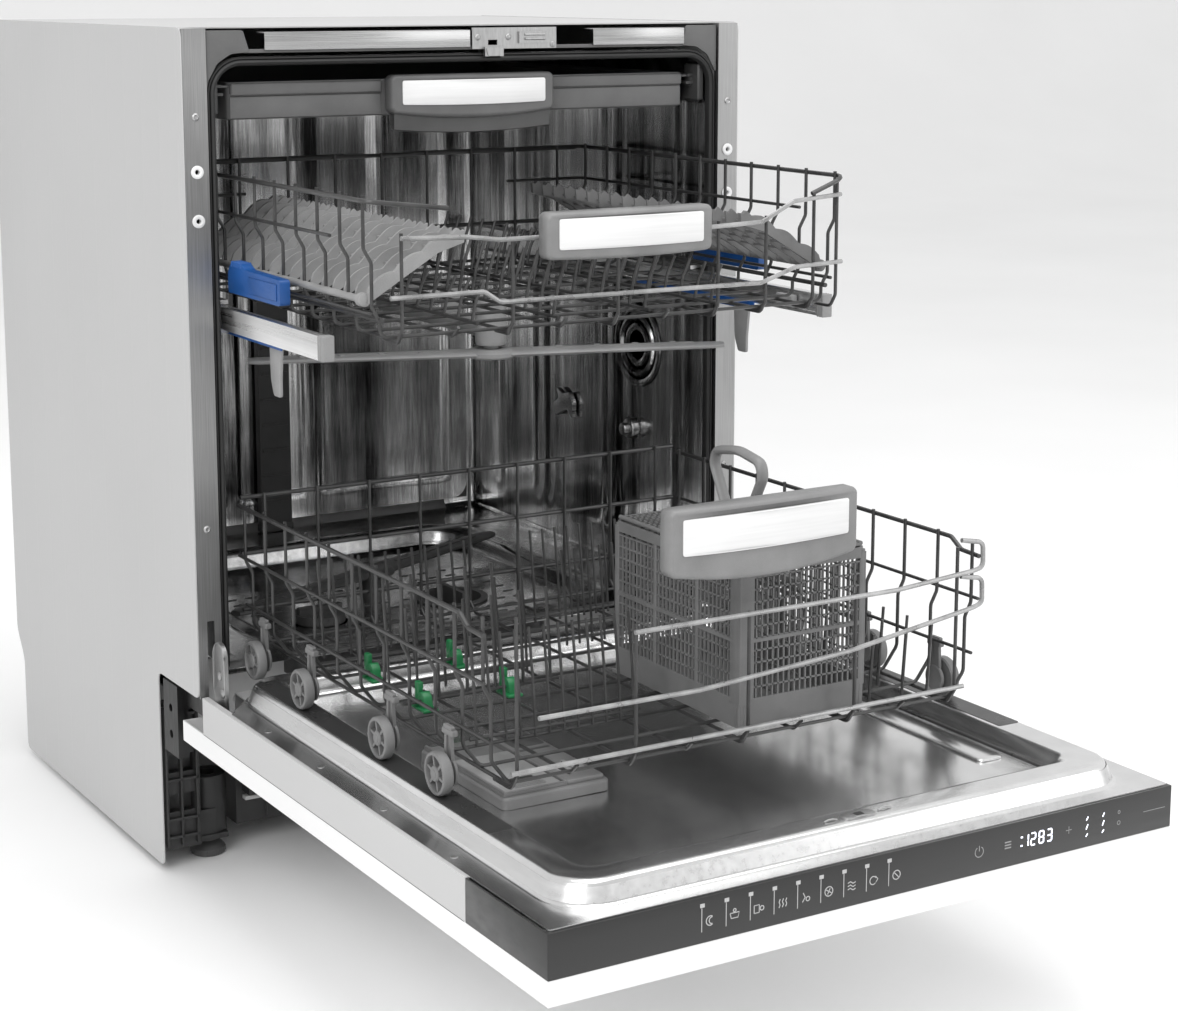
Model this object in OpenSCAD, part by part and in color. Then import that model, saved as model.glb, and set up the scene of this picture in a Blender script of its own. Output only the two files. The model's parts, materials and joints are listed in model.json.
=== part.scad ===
// Built-in dishwasher, door open, both baskets rolled out.
// Frame: X across, +Y to the wall, +Z up. Sizes in millimetres.

/* [Cabinet] */
// Outer width over the two side panels
cab_w = 598; // [590:1:604]
// Height from the floor to the top edge of the side panels
cab_h = 820; // [815:1:850]
// Depth from the front frame to the back panel
cab_d = 550; // [545:1:560]
// Thickness of the casing sheet
sheet = 1.2; // [0.8:0.1:2]
// Height of the front frame's lower end over the floor
skirt_z = 205; // [203:1:208]
// How far the plinth is set back from the front frame
plinth_back = 105; // [90:1:120]
// Height at which the back of the side panels steps in
step_z = 118; // [100:1:150]
// Width of each brushed strip beside the opening
strip_w = 23; // [20:0.5:23]

/* [Tub] */
// Clear width of the washing tub
tub_w = 536; // [532:1:540]
// Level of the tub floor on which the wheels roll
tub_floor = 226; // [226:0.5:226.5]
// Level of the tub ceiling
tub_top = 788; // [784:1:789]
// Inside depth of the tub
tub_d = 505; // [500:1:520]
// Corner radius of the tub and of the gasket
tub_r = 28; // [20:1:36]

/* [Door] */
// Width of the door
door_w = 594; // [590:1:596]
// Distance from the hinge axis to the far edge of the door
door_reach = 623; // [610:1:630]
// Thickness of the removable outer sheet's tray
outer_t = 19.6; // [16:0.2:22]
// Depth of the black control panel along the door
fascia_d = 122; // [100:1:130]

/* [Baskets] */
// Half width of the lower basket between its side grids
low_half = 245; // [243:0.5:245]
// Length of the lower basket
low_len = 488; // [480:1:490]
// Height of the lower basket's rim above the tub floor
low_rim = 152; // [140:1:160]
// Half width of the upper basket between its side grids
up_half = 243; // [238:0.5:243]
// Length of the upper basket
up_len = 470; // [460:1:474]
// Height of the upper basket from its floor to its rim
up_deep = 118; // [105:1:122]
// Radius of the rim and frame wires
wire_r = 2.1; // [1.9:0.1:2.2]
// Radius of the thin wires and the tines
thin_r = 1.6; // [1.4:0.1:1.8]
// Number of cross wires in each basket
cross_n = 11; // [9:1:12]
// Radius of the lower basket's wheels
wheel_r = 18; // [17:0.5:18]

/* [Spray] */
// Radius swept by the lower spray arm
arm_low_r = 212; // [190:1:215]
// Radius swept by the upper spray arm
arm_up_r = 232; // [200:1:236]
// Turn of the upper spray arm as parked
arm_turn = -18; // [-40:1:40]

/* [Fits] */
// Radial running clearance of every pin in its bore
run_gap = 0.06; // [0.02:0.01:0.1]

/* [Hidden] */
fn_round = 40;
wire_sides = 8;
eps = 0.4;
half = cab_w / 2;
half_tub = tub_w / 2;
tub_y0 = 10;
tub_y1 = tub_y0 + tub_d;
tub_mid = (tub_floor + tub_top) / 2;
tub_h = tub_top - tub_floor;
foot_r = 6;
foot_h = 3 * tub_r;
hinge_y = -17;
hinge_z = 192;
door_end = hinge_y - door_reach;
mid_y = (-door_end - cab_d) / 2;
door_top = hinge_z + 15;
door_low = door_top - 35;
outer_low = door_low - 0.3 - outer_t;
pan_top = tub_floor;
wheel_z = tub_floor + wheel_r + 0.3;
wheel_x = low_half + 9.5;
wheel_w = 11;
wheel_y = [-397, -294, -136, -32];
low_y0 = -459;
low_y1 = low_y0 + low_len;
low_floor = tub_floor + 16;
low_top = tub_floor + low_rim;
low_mesh = (low_half - 27) / 4;
up_mesh = (up_half - 33) / 4;
up_y0 = -255;
up_y1 = up_y0 + up_len;
up_floor = 566;
up_top = up_floor + up_deep;
tray_y0 = 24;
tray_z = 732;
rail_z = 558;
well_z = 204;
arm_y = 250;
fix_x = half - strip_w / 2 - 1.2;
fix_z = [648, 692];
fix_r = 2.25;

// Moves a piece so that the whole object is centred over its footprint
module place() translate([0, mid_y, 0]) children();

// Rounded rectangle about the origin with true arcs at its corners
module round_rect(w, h, r) {
  square([w - 2 * r, h], center = true);
  square([w, h - 2 * r], center = true);
  for (i = [-1, 1], j = [-1, 1]) translate([i * (w / 2 - r), j * (h / 2 - r)]) circle(r, $fn = fn_round);
}

// Box from its low corner to its high corner
module block(a, b) translate(a) cube(b - a);

// Straight wire from p to q
module wire(p, q, r = thin_r) {
  v = q - p;
  l = norm(v);
  translate(p) rotate([0, acos(v[2] / l), atan2(v[1], v[0])])
    rotate([0, 0, 180 / wire_sides]) cylinder(r = r / cos(180 / wire_sides), h = l, $fn = wire_sides);
}

// Plate drawn in the X-Z plane, from y0 to y1
module front_plate(y0, y1) translate([0, y1, 0]) rotate([90, 0, 0]) linear_extrude(y1 - y0) children();

// Plate drawn in the Y-Z plane, from x0 to x1
module side_plate(x0, x1) translate([x0, 0, 0]) rotate([90, 0, 90]) linear_extrude(x1 - x0) children();

// Cylinder along X from x0 to x1
module rod_x(x0, x1, y, z, r) translate([x0, y, z]) rotate([0, 90, 0]) cylinder(r = r, h = x1 - x0, $fn = fn_round);

// The same piece on the left and on the right
module both() for (s = [0, 1]) mirror([s, 0, 0]) children();

module casing_side() {
  side_plate(half - sheet, half) polygon([[0, skirt_z], [0, cab_h], [cab_d, cab_h], [cab_d, step_z + 17],
    [cab_d - 22, step_z - 6], [cab_d - 22, 8], [plinth_back, 8], [plinth_back, skirt_z]]);
}

module side_left() color("lightgrey") mirror([1, 0, 0]) casing_side();

module side_right() color("lightgrey") casing_side();

module top_panel() color("lightgrey")
  block([-half + sheet + 0.2, 24, cab_h - sheet - 0.4], [half - sheet - 0.2, cab_d - sheet - 0.2, cab_h - 0.4]);

module back_panel() color("lightgrey") difference() {
  block([-half + sheet + 0.2, cab_d - sheet, step_z + 20], [half - sheet - 0.2, cab_d, cab_h - 1]);
  front_plate(cab_d - 3, cab_d + 1) for (z = [260, 300, 340]) translate([0, z]) square([120, 6], center = true);
}

module front_strips() color("grey") both() difference() {
  union() {
    block([half - strip_w - sheet, 0, skirt_z], [half - sheet - 0.2, 1.5, cab_h - 1]);
    block([half - strip_w - sheet, 0, skirt_z], [half - strip_w - sheet + 1.5, 9, cab_h - 1]);
  }
  for (z = fix_z) front_plate(-1, 3) translate([fix_x, z]) circle(4.6, $fn = fn_round);
  front_plate(-1, 3) translate([half - 13.5, skirt_z + 28]) square([7, 90], center = true);
}

module strip_bushes() color("white") both() {
  for (z = fix_z) translate([fix_x, 0, z]) rotate([90, 0, 0]) difference() {
    union() {
      translate([0, 0, 0.1]) cylinder(r = 6, h = 1.4, $fn = fn_round);
      translate([0, 0, -4]) cylinder(r = 4.5, h = 4.5, $fn = fn_round);
    }
    translate([0, 0, -5]) cylinder(r = fix_r, h = 8, $fn = fn_round);
  }
  for (z = [365, 741]) translate([fix_x, -0.1, z]) rotate([90, 0, 0])
    cylinder(r1 = 3.6, r2 = 2.4, h = 1.2, $fn = fn_round);
}

module top_bar() color("silver") {
  for (x = [[-218, -8], [128, 234]]) side_plate(x[0], x[1])
    polygon([[1, 799], [1, 815], [20, 815], [20, 813.6], [2.4, 813.6], [2.4, 800.4], [8, 800.4], [8, 799]]);
  for (s = [-1, 1]) front_plate(3, 5.5) polygon([[s * 273, 817], [s * 240, 817], [s * 236, 796], [s * 252, 793],
    [s * 264, 786], [s * 273, 772]]);
}

module latch_catch() color("silver") difference() {
  union() {
    block([-6, 1, 797], [86, 3, 817]);
    block([-6, 1, 797], [86, 18, 799]);
    block([6, -2.5, 790], [26, 1.8, 799]);
    block([44, -1, 802], [78, 3, 813]);
  }
  front_plate(-5, 12) translate([16, 803]) square([10, 5], center = true);
  block([10, -3, 789], [22, 0.8, 794]);
}

// Tub outline, squarer at the foot where the basket wheels run
module tub_ring(d) {
  round_rect(tub_w + 2 * d, tub_h + 2 * d, tub_r + d);
  translate([0, (foot_h - tub_h) / 2]) round_rect(tub_w + 2 * d, foot_h + 2 * d, foot_r + d);
}

module tub() color("silver") difference() {
  union() {
    translate([0, 0, tub_mid]) {
      front_plate(tub_y0, tub_y1 + sheet) tub_ring(sheet);
      front_plate(tub_y0, tub_y0 + sheet) tub_ring(5.6);
    }
    translate([0, arm_y, well_z - sheet]) linear_extrude(tub_floor - well_z + sheet) round_rect(402.4, 382.4, 61.2);
  }
  translate([0, 0, tub_mid]) front_plate(tub_y0 - 1, tub_y1) tub_ring(0);
  translate([0, arm_y, well_z]) linear_extrude(60) round_rect(400, 380, 60);
  translate([0, arm_y - 30, well_z - 9]) linear_extrude(20) round_rect(300, 210, 30);
  front_plate(tub_y1 - 2, tub_y1 + 4) translate([0, 240]) square([26, 12], center = true);
}

module gasket() color("black") difference() {
  translate([0, 0, tub_mid]) front_plate(2, tub_y0 - 0.4) difference() {
    tub_ring(5.2);
    tub_ring(-3);
  }
  block([-400, -10, 0], [400, 40, skirt_z + 26]);
}

module sump() color("dimgrey") difference() {
  union() {
    translate([0, arm_y - 30, well_z - 34]) linear_extrude(32.4) round_rect(298, 208, 29);
    translate([70, 200, 140]) cylinder(r = 42, h = 40, $fn = fn_round);
    translate([0, arm_y, 160]) cylinder(r = 12, h = 70, $fn = fn_round);
    translate([0, arm_y, 160]) cylinder(r = 8, h = tub_floor - 148, $fn = fn_round);
    translate([70, 200, 152]) rotate([-90, 0, 0]) cylinder(r = 11, h = 90, $fn = fn_round);
  }
  difference() {
    translate([0, arm_y - 30, well_z - 31]) linear_extrude(40) round_rect(292, 202, 26);
    translate([0, arm_y, 150]) cylinder(r = 12, h = 90, $fn = fn_round);
  }
  translate([70, 200, 143]) cylinder(r = 39, h = 80, $fn = fn_round);
  translate([70, 240, 152]) rotate([-90, 0, 0]) cylinder(r = 8.5, h = 60, $fn = fn_round);
}

module filter_plate() color("silver") difference() {
  translate([0, arm_y - 30, well_z + 0.2]) linear_extrude(1.2) round_rect(312, 222, 34);
  translate([0, arm_y, well_z - 3]) cylinder(r = 13, h = 9, $fn = fn_round);
  translate([70, 200, well_z - 3]) cylinder(r = 35.5, h = 9, $fn = fn_round);
  translate([-90, 190, well_z - 3]) cylinder(r = 29.5, h = 9, $fn = fn_round);
}

module filter_cup() color("dimgrey") translate([70, 200, 0]) difference() {
  union() {
    translate([0, 0, 150]) cylinder(r = 34.5, h = well_z - 148, $fn = fn_round);
    translate([0, 0, well_z + 2]) cylinder(r = 39, h = 2, $fn = fn_round);
    block([-2.5, -30, well_z + 2], [2.5, 30, well_z + 14]);
  }
  difference() {
    translate([0, 0, 152]) cylinder(r = 32, h = 80, $fn = fn_round);
    block([-2.5, -34, well_z - 4], [2.5, 34, well_z + 40]);
  }
}

module salt_cap() color("dimgrey") translate([-90, 190, 0]) difference() {
  union() {
    translate([0, 0, well_z - 22]) cylinder(r = 22, h = 24, $fn = fn_round);
    translate([0, 0, well_z + 2]) cylinder(r = 27, h = 9, $fn = fn_round);
    block([-24, -4, well_z + 8], [24, 4, well_z + 18]);
  }
  translate([0, 0, well_z - 23]) cylinder(r = 19, h = 20, $fn = fn_round);
}

module arm_blade(len, h) {
  linear_extrude(h) {
    polygon([[0, -20], [len - 16, -12], [len - 16, 12], [0, 20], [16 - len, 12], [16 - len, -12]]);
    for (s = [-1, 1]) translate([s * (len - 16), 0]) circle(12, $fn = fn_round);
    circle(24, $fn = fn_round);
  }
}

module lower_spray_arm() color("dimgrey") translate([0, arm_y, 0]) difference() {
  union() {
    translate([0, 0, tub_floor + 4.4]) rotate([0, 0, 24]) arm_blade(arm_low_r, 7);
    translate([0, 0, tub_floor + 4.4]) cylinder(r = 15, h = 7.2, $fn = fn_round);
  }
  translate([0, 0, tub_floor]) cylinder(r = 8 + run_gap, h = 30, $fn = fn_round);
  for (s = [-1, 1], i = [1:4]) rotate([0, 0, 24]) translate([s * (30 + i * 38), s * 4, tub_floor + 9])
    cylinder(r = 2, h = 5, $fn = 12);
}

module water_duct() color("dimgrey") difference() {
  union() {
    block([-19, tub_y1 - 12, tub_floor + 2], [19, tub_y1 - 0.3, 520]);
    block([-14, tub_y1 - 26, 505], [14, tub_y1 - 0.3, 546]);
    translate([0, tub_y1 - 30, 530]) rotate([-90, 0, 0]) cylinder(r = 16, h = 20, $fn = fn_round);
  }
  translate([0, tub_y1 - 31, 530]) rotate([-90, 0, 0]) cylinder(r = 12, h = 22, $fn = fn_round);
}

module rail_guides() color("silver") both() difference() {
  block([253.4, 16, rail_z - 17], [half_tub - 0.2, 470, rail_z + 17]);
  block([250, 15, rail_z - 11.4], [half_tub - 2.4, 471, rail_z + 11.4]);
  block([252, 15, rail_z - 30], [half_tub - 5, 471, rail_z - 15.4]);
  block([252, 15, rail_z + 15.4], [half_tub - 5, 471, rail_z + 30]);
}

module tray_runners() color("dimgrey") both() {
  block([250.5, 22, tray_z + 26], [half_tub - 1.6, 446, tray_z + 28.5]);
  block([half_tub - 3.8, 22, tray_z + 8], [half_tub - 1.6, 446, tray_z + 36]);
  block([252, 22, tray_z + 34], [half_tub - 1.6, 446, tray_z + 36]);
}

module base_pan() color("black") difference() {
  union() {
    block([-212, plinth_back + 26, 26], [212, cab_d - 26, 118]);
    block([-205, plinth_back + 8, 60], [205, plinth_back + 30, 96]);
  }
  block([-209, plinth_back + 33, 29], [209, cab_d - 110, 150]);
  for (x = [-150, 0, 150]) block([x - 50, plinth_back + 7, 66], [x + 50, plinth_back + 10, 90]);
  translate([0, cab_d - 60, 0]) cylinder(r = 14, h = 200, $fn = fn_round);
}

module hinge_brackets() color("silver") both() difference() {
  union() {
    block([half - 12.2, hinge_y - 9, hinge_z - 9], [half - 9.6, 96, hinge_z + 9]);
    block([half - 12.2, 60, 130], [half - 1.4, 96, hinge_z + 9]);
    rod_x(half - 22, half - 10, hinge_y, hinge_z, 4);
  }
  for (z = [150, 176]) rod_x(half - 20, half, 78, z, 4);
}

module leg_brackets() color("black") {
  both() difference() {
    union() {
      block([half - 40, plinth_back + 2, 22], [half - 1.6, plinth_back + 24, 168]);
      translate([240, plinth_back + 34, 22]) cylinder(r = 19, h = 62, $fn = fn_round);
      block([half - 60, plinth_back + 14, 22], [half - 20, plinth_back + 44, 52]);
    }
    for (z = [60, 100, 132]) block([half - 34, plinth_back + 1, z], [half - 8, plinth_back + 12, z + 18]);
    translate([240, plinth_back + 34, 21]) cylinder(r = 9 + run_gap, h = 80, $fn = fn_round);
  }
  difference() {
    translate([0, cab_d - 60, 24]) cylinder(r = 13.5, h = 70, $fn = fn_round);
    translate([0, cab_d - 60, 23]) cylinder(r = 9 + run_gap, h = 90, $fn = fn_round);
  }
}

module foot_at(x, y) translate([x, y, 0]) difference() {
  union() {
    cylinder(r = 17, h = 8, $fn = fn_round);
    translate([0, 0, 8]) cylinder(r1 = 17, r2 = 13, h = 6, $fn = fn_round);
    cylinder(r = 9, h = 78, $fn = fn_round);
  }
  for (a = [0, 90]) rotate([0, 0, a]) block([-18, -2, -1], [-13, 2, 6]);
}

module foot_left() color("grey") foot_at(-240, plinth_back + 34);

module foot_right() color("grey") foot_at(240, plinth_back + 34);

module foot_rear() color("grey") foot_at(0, cab_d - 60);

module door_shell() color("lightgrey") difference() {
  w = door_w / 2;
  block([-w, door_end + fascia_d + 0.2, door_low], [w, -3, door_top]);
  block([-w + 1.5, door_end + fascia_d - 1, door_low + 1.5], [w - 1.5, -4.5, door_top - 1.4]);
  block([-w + 6, -60, door_low + 1.5], [-w + 32, 0, door_top + 1]);
  block([w - 32, -60, door_low + 1.5], [w - 6, 0, door_top + 1]);
  block([-268, door_end, door_top - 3], [268, -34, door_top + 1]);
}

module door_outer() color("white") difference() {
  w = door_w / 2;
  block([-w, door_end, outer_low], [w, 48, outer_low + outer_t]);
  block([-w + 1.5, door_end + 1.5, outer_low + 1.5], [w - 1.5, 46.5, outer_low + outer_t + 1]);
  for (x = [-200, 200], y = [-520, -120]) translate([x, y, outer_low - 1]) cylinder(r = 2.5, h = 5, $fn = fn_round);
}

module pan_outline(d) translate([0, door_end / 2]) round_rect(2 * (262 + d), -door_end - 56 + 2 * d, 30 + d);

module pan_pocket(d) translate([0, door_end / 2]) round_rect(2 * (236 + d), -door_end - 108 + 2 * d, 20 + d);

module door_pan() color("silver") difference() {
  union() {
    block([-door_w / 2 + 2.5, door_end + 3, door_top + 0.2], [door_w / 2 - 2.5, -62, door_top + 1.4]);
    translate([0, 0, door_top + 0.2]) linear_extrude(pan_top - door_top - 0.2) pan_outline(0);
  }
  difference() {
    translate([0, 0, door_top - 2]) linear_extrude(pan_top - door_top + 0.6) pan_outline(-1.4);
    translate([0, 0, door_top - 3]) linear_extrude(40) pan_pocket(1.4);
  }
  translate([0, 0, door_top + 1.6]) linear_extrude(40) pan_pocket(0);
  block([-16, door_end + 33, pan_top - 8], [16, door_end + 45, pan_top + 3]);
}

module fascia() color("black") difference() {
  w = door_w / 2;
  block([-w - 0.4, door_end - 0.4, door_low], [w + 0.4, door_end + fascia_d, door_top]);
  block([-w + 2, door_end + 9, door_low - 1], [w - 2, door_end + fascia_d + 1, door_top + 1]);
}

module hinge_plates() color("silver") both() difference() {
  side_plate(half - 17, half - 14) {
    translate([hinge_y - 14, door_low + 1.7]) square([28, 74]);
    translate([hinge_y, door_low + 75.7]) circle(14, $fn = fn_round);
    translate([hinge_y - 120, door_low + 1.7]) square([108, 16]);
  }
  rod_x(half - 20, half - 10, hinge_y, hinge_z, 4 + run_gap);
  rod_x(half - 20, half - 10, hinge_y, hinge_z + 38, 3);
}

disp_x = -157;
disp_y = -341;
disp_z = door_top + 1.8;

module dispenser() color("grey") difference() {
  translate([disp_x, disp_y, disp_z]) linear_extrude(14) round_rect(100, 148, 5);
  block([disp_x - 44, disp_y - 66, disp_z + 3], [disp_x + 8, disp_y + 20, disp_z + 15]);
  block([disp_x - 44.4, disp_y - 66.4, disp_z + 9.6], [disp_x + 8.4, disp_y + 68.4, disp_z + 15]);
  translate([disp_x + 30, disp_y - 40, disp_z + 6]) cylinder(r = 14, h = 12, $fn = fn_round);
  block([disp_x + 12, disp_y + 6, disp_z + 9], [disp_x + 46, disp_y + 66, disp_z + 15]);
}

module dispenser_lid() color("grey") difference() {
  block([disp_x - 43.8, disp_y - 65.8, disp_z + 10], [disp_x + 7.8, disp_y + 24, disp_z + 13.4]);
  block([disp_x - 34, disp_y - 52, disp_z + 11.6], [disp_x - 2, disp_y - 40, disp_z + 15]);
}

module rinse_flap() color("grey") difference() {
  union() {
    translate([disp_x + 30, disp_y - 40, disp_z + 6.4]) cylinder(r = 13.6, h = 7, $fn = fn_round);
    block([disp_x + 28, disp_y - 51, disp_z + 12], [disp_x + 32, disp_y - 29, disp_z + 16]);
  }
  translate([disp_x + 30, disp_y - 40, disp_z + 5]) cylinder(r = 10, h = 5, $fn = fn_round);
}

function cross_y(i, a, b) = a + 12 + (b - a - 24) * i / (cross_n - 1);

module low_floor_grid() color("grey") {
  for (i = [-4:4]) let (x = i * low_mesh) wire([x, low_y0 + 4, low_floor], [x, low_y1 - 4, low_floor], thin_r);
  for (i = [0:cross_n - 1]) let (y = cross_y(i, low_y0, low_y1))
    wire([-low_half + 20, y, low_floor + 2 * thin_r - eps], [low_half - 20, y, low_floor + 2 * thin_r - eps], thin_r);
}

module low_sides() color("grey") both() {
  for (z = [low_top, low_top - 48, low_top - 96])
    wire([low_half, low_y0 + 4, z], [low_half, low_y1 - 4, z], z == low_top ? wire_r : thin_r);
  for (i = [0:cross_n - 1]) let (y = cross_y(i, low_y0, low_y1), x = low_half - 2 * thin_r + eps) {
    wire([x, y, low_floor + 30], [x, y, low_top + 3], thin_r);
    wire([x + 0.6, y, low_floor + 31.5], [low_half - 18, y, low_floor + 2.5], thin_r);
  }
}

module low_ends() color("silver") {
  for (z = [low_top - 26, low_top - 78, low_floor + 14])
    wire([-low_half + 7, low_y0 - 0.5, z], [low_half - 7, low_y0 - 0.5, z], wire_r);
  for (z = [low_top + 6, low_top - 48, low_top - 102])
    wire([-low_half + 7, low_y1 + 0.5, z], [low_half - 7, low_y1 + 0.5, z], wire_r);
  for (i = [-4:4]) let (x = i * low_mesh, d = wire_r + thin_r - eps) {
    wire([x, low_y0 - 0.5 + d, low_floor + 5], [x, low_y0 - 0.5 + d, low_top - 24], thin_r);
    wire([x, low_y1 + 0.5 - d, low_floor + 5], [x, low_y1 + 0.5 - d, low_top + 8], thin_r);
  }
}

// Bowed grip frame of a basket, its label recess facing forward
module grip(w, h, y) difference() {
  front_plate(y - 16, y) round_rect(w, h, 6);
  front_plate(y - 17, y - 13.5) round_rect(w - 22, h - 26, 2);
  front_plate(y - 11, y + 1) translate([0, -4]) round_rect(w - 12, h - 14, 3);
}

module low_handle() color("grey") {
  translate([0, 0, low_top + 46]) grip(190, 60, low_y0 - 4);
  for (x = [-80, 80]) block([x - 5, low_y0 - 12, low_top - 22], [x + 5, low_y0 - 5, low_top + 18]);
}

module wheel_carriers() color("grey") both() for (y = wheel_y) {
  rod_x(low_half + 2.2, low_half + 15.4, y, wheel_z, 4);
  rod_x(low_half - 1.6, low_half + 2.4, y, wheel_z, 11);
  block([low_half - 0.4, y - 5, wheel_z], [low_half + 2.4, y + 5, low_floor + 37.6]);
}

module wheel_pair(y) color("grey") both() difference() {
  rod_x(wheel_x - wheel_w / 2 + 1.6, wheel_x + wheel_w / 2, y, wheel_z, wheel_r);
  rod_x(wheel_x - 20, wheel_x + 20, y, wheel_z, 4 + run_gap);
  for (a = [0:60:300]) rod_x(wheel_x + wheel_w / 2 - 3, wheel_x + 20, y + 10.5 * cos(a), wheel_z + 10.5 * sin(a), 3);
}

module wheels_a() wheel_pair(wheel_y[0]);

module wheels_b() wheel_pair(wheel_y[1]);

module wheels_c() wheel_pair(wheel_y[2]);

module wheels_d() wheel_pair(wheel_y[3]);

tine_y = [-150, -250];
tine_z = low_floor + 12;
tine_x = -low_half + 39;
tine_gap = 27.6;
clip_x = [tine_x + tine_gap / 2, tine_x + 3.5 * tine_gap];

module tine_clips() color("green") for (y = tine_y, x = clip_x) difference() {
  block([x - 4, y - 8, low_floor + 5.2], [x + 4, y + 8, tine_z + 7]);
  rod_x(x - 6, x + 6, y, tine_z, thin_r + run_gap);
}

// Fold-down row of plate tines on its pivot wire
module tine_row(y) color("grey") {
  rod_x(tine_x - 8, tine_x + 146, y, tine_z, thin_r);
  for (i = [0:5]) let (x = tine_x + i * tine_gap) wire([x, y, tine_z], [x, y + 8, tine_z + 82], thin_r - 0.1);
}

module tines_left() tine_row(tine_y[0]);

module tines_mid() tine_row(tine_y[1]);

cut_x = 67;
cut_y = -342;
cut_z = low_floor + 6;

module cutlery_basket() color("grey") difference() {
  translate([cut_x, cut_y, cut_z]) linear_extrude(140) round_rect(130, 196, 8);
  translate([cut_x, cut_y, cut_z + 2.5]) linear_extrude(150) round_rect(125, 191, 5.5);
  for (i = [0:1], j = [0:2]) block([cut_x - 70, cut_y - 88 + i * 94, cut_z + 26 + j * 34],
    [cut_x + 70, cut_y - 6 + i * 94, cut_z + 54 + j * 34]);
  for (i = [0:1], j = [0:2]) block([cut_x - 54 + i * 58, cut_y - 110, cut_z + 26 + j * 34],
    [cut_x - 4 + i * 58, cut_y + 110, cut_z + 54 + j * 34]);
  for (x = [-40, 0, 40], y = [-72, -36, 0, 36, 72]) translate([cut_x + x, cut_y + y, cut_z - 1])
    cube([24, 20, 9], center = true);
}

// Perforated lid flap, hinged along the outer long edge of the basket
module lid_flap() difference() {
  union() {
    block([13, -95, 141], [60, 95, 143.6]);
    translate([61, -95, 143]) rotate([-90, 0, 0]) cylinder(r = 2.2, h = 190, $fn = fn_round);
  }
  for (x = [24, 44], y = [-78:26:78]) translate([x, y, 140]) cube([15, 19, 12], center = true);
}

module cutlery_lid_right() color("grey") translate([cut_x, cut_y, cut_z]) lid_flap();

module cutlery_lid_left() color("grey") translate([cut_x, cut_y, cut_z]) mirror([1, 0, 0]) lid_flap();

module cutlery_grip() color("grey") {
  block([cut_x - 10, cut_y - 10, cut_z + 118], [cut_x + 10, cut_y + 10, cut_z + 146]);
  translate([cut_x, cut_y, cut_z + 146]) side_plate(-6, 6) difference() {
    polygon([[-12, -2], [12, -2], [42, 52], [36, 66], [0, 72], [-36, 66], [-42, 52]]);
    polygon([[-7, 6], [7, 6], [33, 51], [29, 58], [0, 63], [-29, 58], [-33, 51]]);
  }
  for (y = [-94, 8]) block([cut_x - 4, cut_y + y, cut_z + 112], [cut_x + 4, cut_y + y + 86, cut_z + 120]);
}

module up_floor_grid() color("grey") {
  for (i = [-4:4]) let (x = i * up_mesh) wire([x, up_y0 + 4, up_floor], [x, up_y1 - 4, up_floor], thin_r);
  for (i = [0:cross_n - 1]) let (y = cross_y(i, up_y0, up_y1))
    wire([-up_half + 14, y, up_floor + 2 * thin_r - eps], [up_half - 14, y, up_floor + 2 * thin_r - eps], thin_r);
  wire([0, up_y1 - 2, up_floor - 36], [0, up_y0 + up_len / 2, up_floor - 36], 9);
  translate([0, up_y0 + up_len / 2, up_floor - 62]) cylinder(r = 8, h = 14, $fn = fn_round);
  translate([0, up_y0 + up_len / 2, up_floor - 50]) cylinder(r = 15, h = 51, $fn = fn_round);
}

module up_sides() color("grey") both() {
  for (z = [up_top, up_top - 34, up_floor + 44])
    wire([up_half, up_y0 + 4, z], [up_half, up_y1 - 4, z], z == up_top ? wire_r : thin_r);
  for (i = [0:cross_n - 1]) let (y = cross_y(i, up_y0, up_y1), x = up_half - 2 * thin_r + eps) {
    wire([x, y, up_floor + 34], [x, y, up_top + 3], thin_r);
    wire([x + 0.4, y, up_floor + 35.5], [up_half - 12.2, y, up_floor + 2.5], thin_r);
  }
}

module up_ends() color("silver") {
  for (z = [up_top - 36, up_floor + 18])
    wire([-up_half + 7, up_y0 - 0.5, z], [up_half - 7, up_y0 - 0.5, z], wire_r);
  for (z = [up_top, up_floor + 40])
    wire([-up_half + 7, up_y1 + 0.5, z], [up_half - 7, up_y1 + 0.5, z], wire_r);
  for (i = [-4:4]) let (x = i * up_mesh, d = wire_r + thin_r - eps) {
    wire([x, up_y0 - 0.5 + d, up_floor + 5], [x, up_y0 - 0.5 + d, up_top - 34], thin_r);
    wire([x, up_y1 + 0.5 - d, up_floor + 5], [x, up_y1 + 0.5 - d, up_top + 2], thin_r);
  }
}

module up_handle() color("grey") {
  translate([0, 0, up_top - 36]) grip(168, 40, up_y0 - 4);
}

module up_rails() color("silver") both() {
  block([up_half + 11.2, up_y0 + 55, rail_z - 9.6], [up_half + 20.6, up_y1 - 6, rail_z + 9.6]);
  block([up_half + 9.4, up_y0 + 44, rail_z - 11], [up_half + 21, up_y0 + 54.8, rail_z + 11]);
  for (y = [up_y0 + 100, up_y1 - 60])
    block([up_half + 4.2, y - 14, rail_z - 6], [up_half + 11.4, y + 14, rail_z + 6]);
}

module adjusters() color("blue") both() {
  block([up_half + 4, up_y0 + 108, rail_z + 20], [up_half + 16, up_y0 + 240, rail_z + 44]);
  block([up_half + 5, up_y0 + 200, rail_z + 43], [up_half + 14, up_y0 + 236, rail_z + 52]);
}

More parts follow.
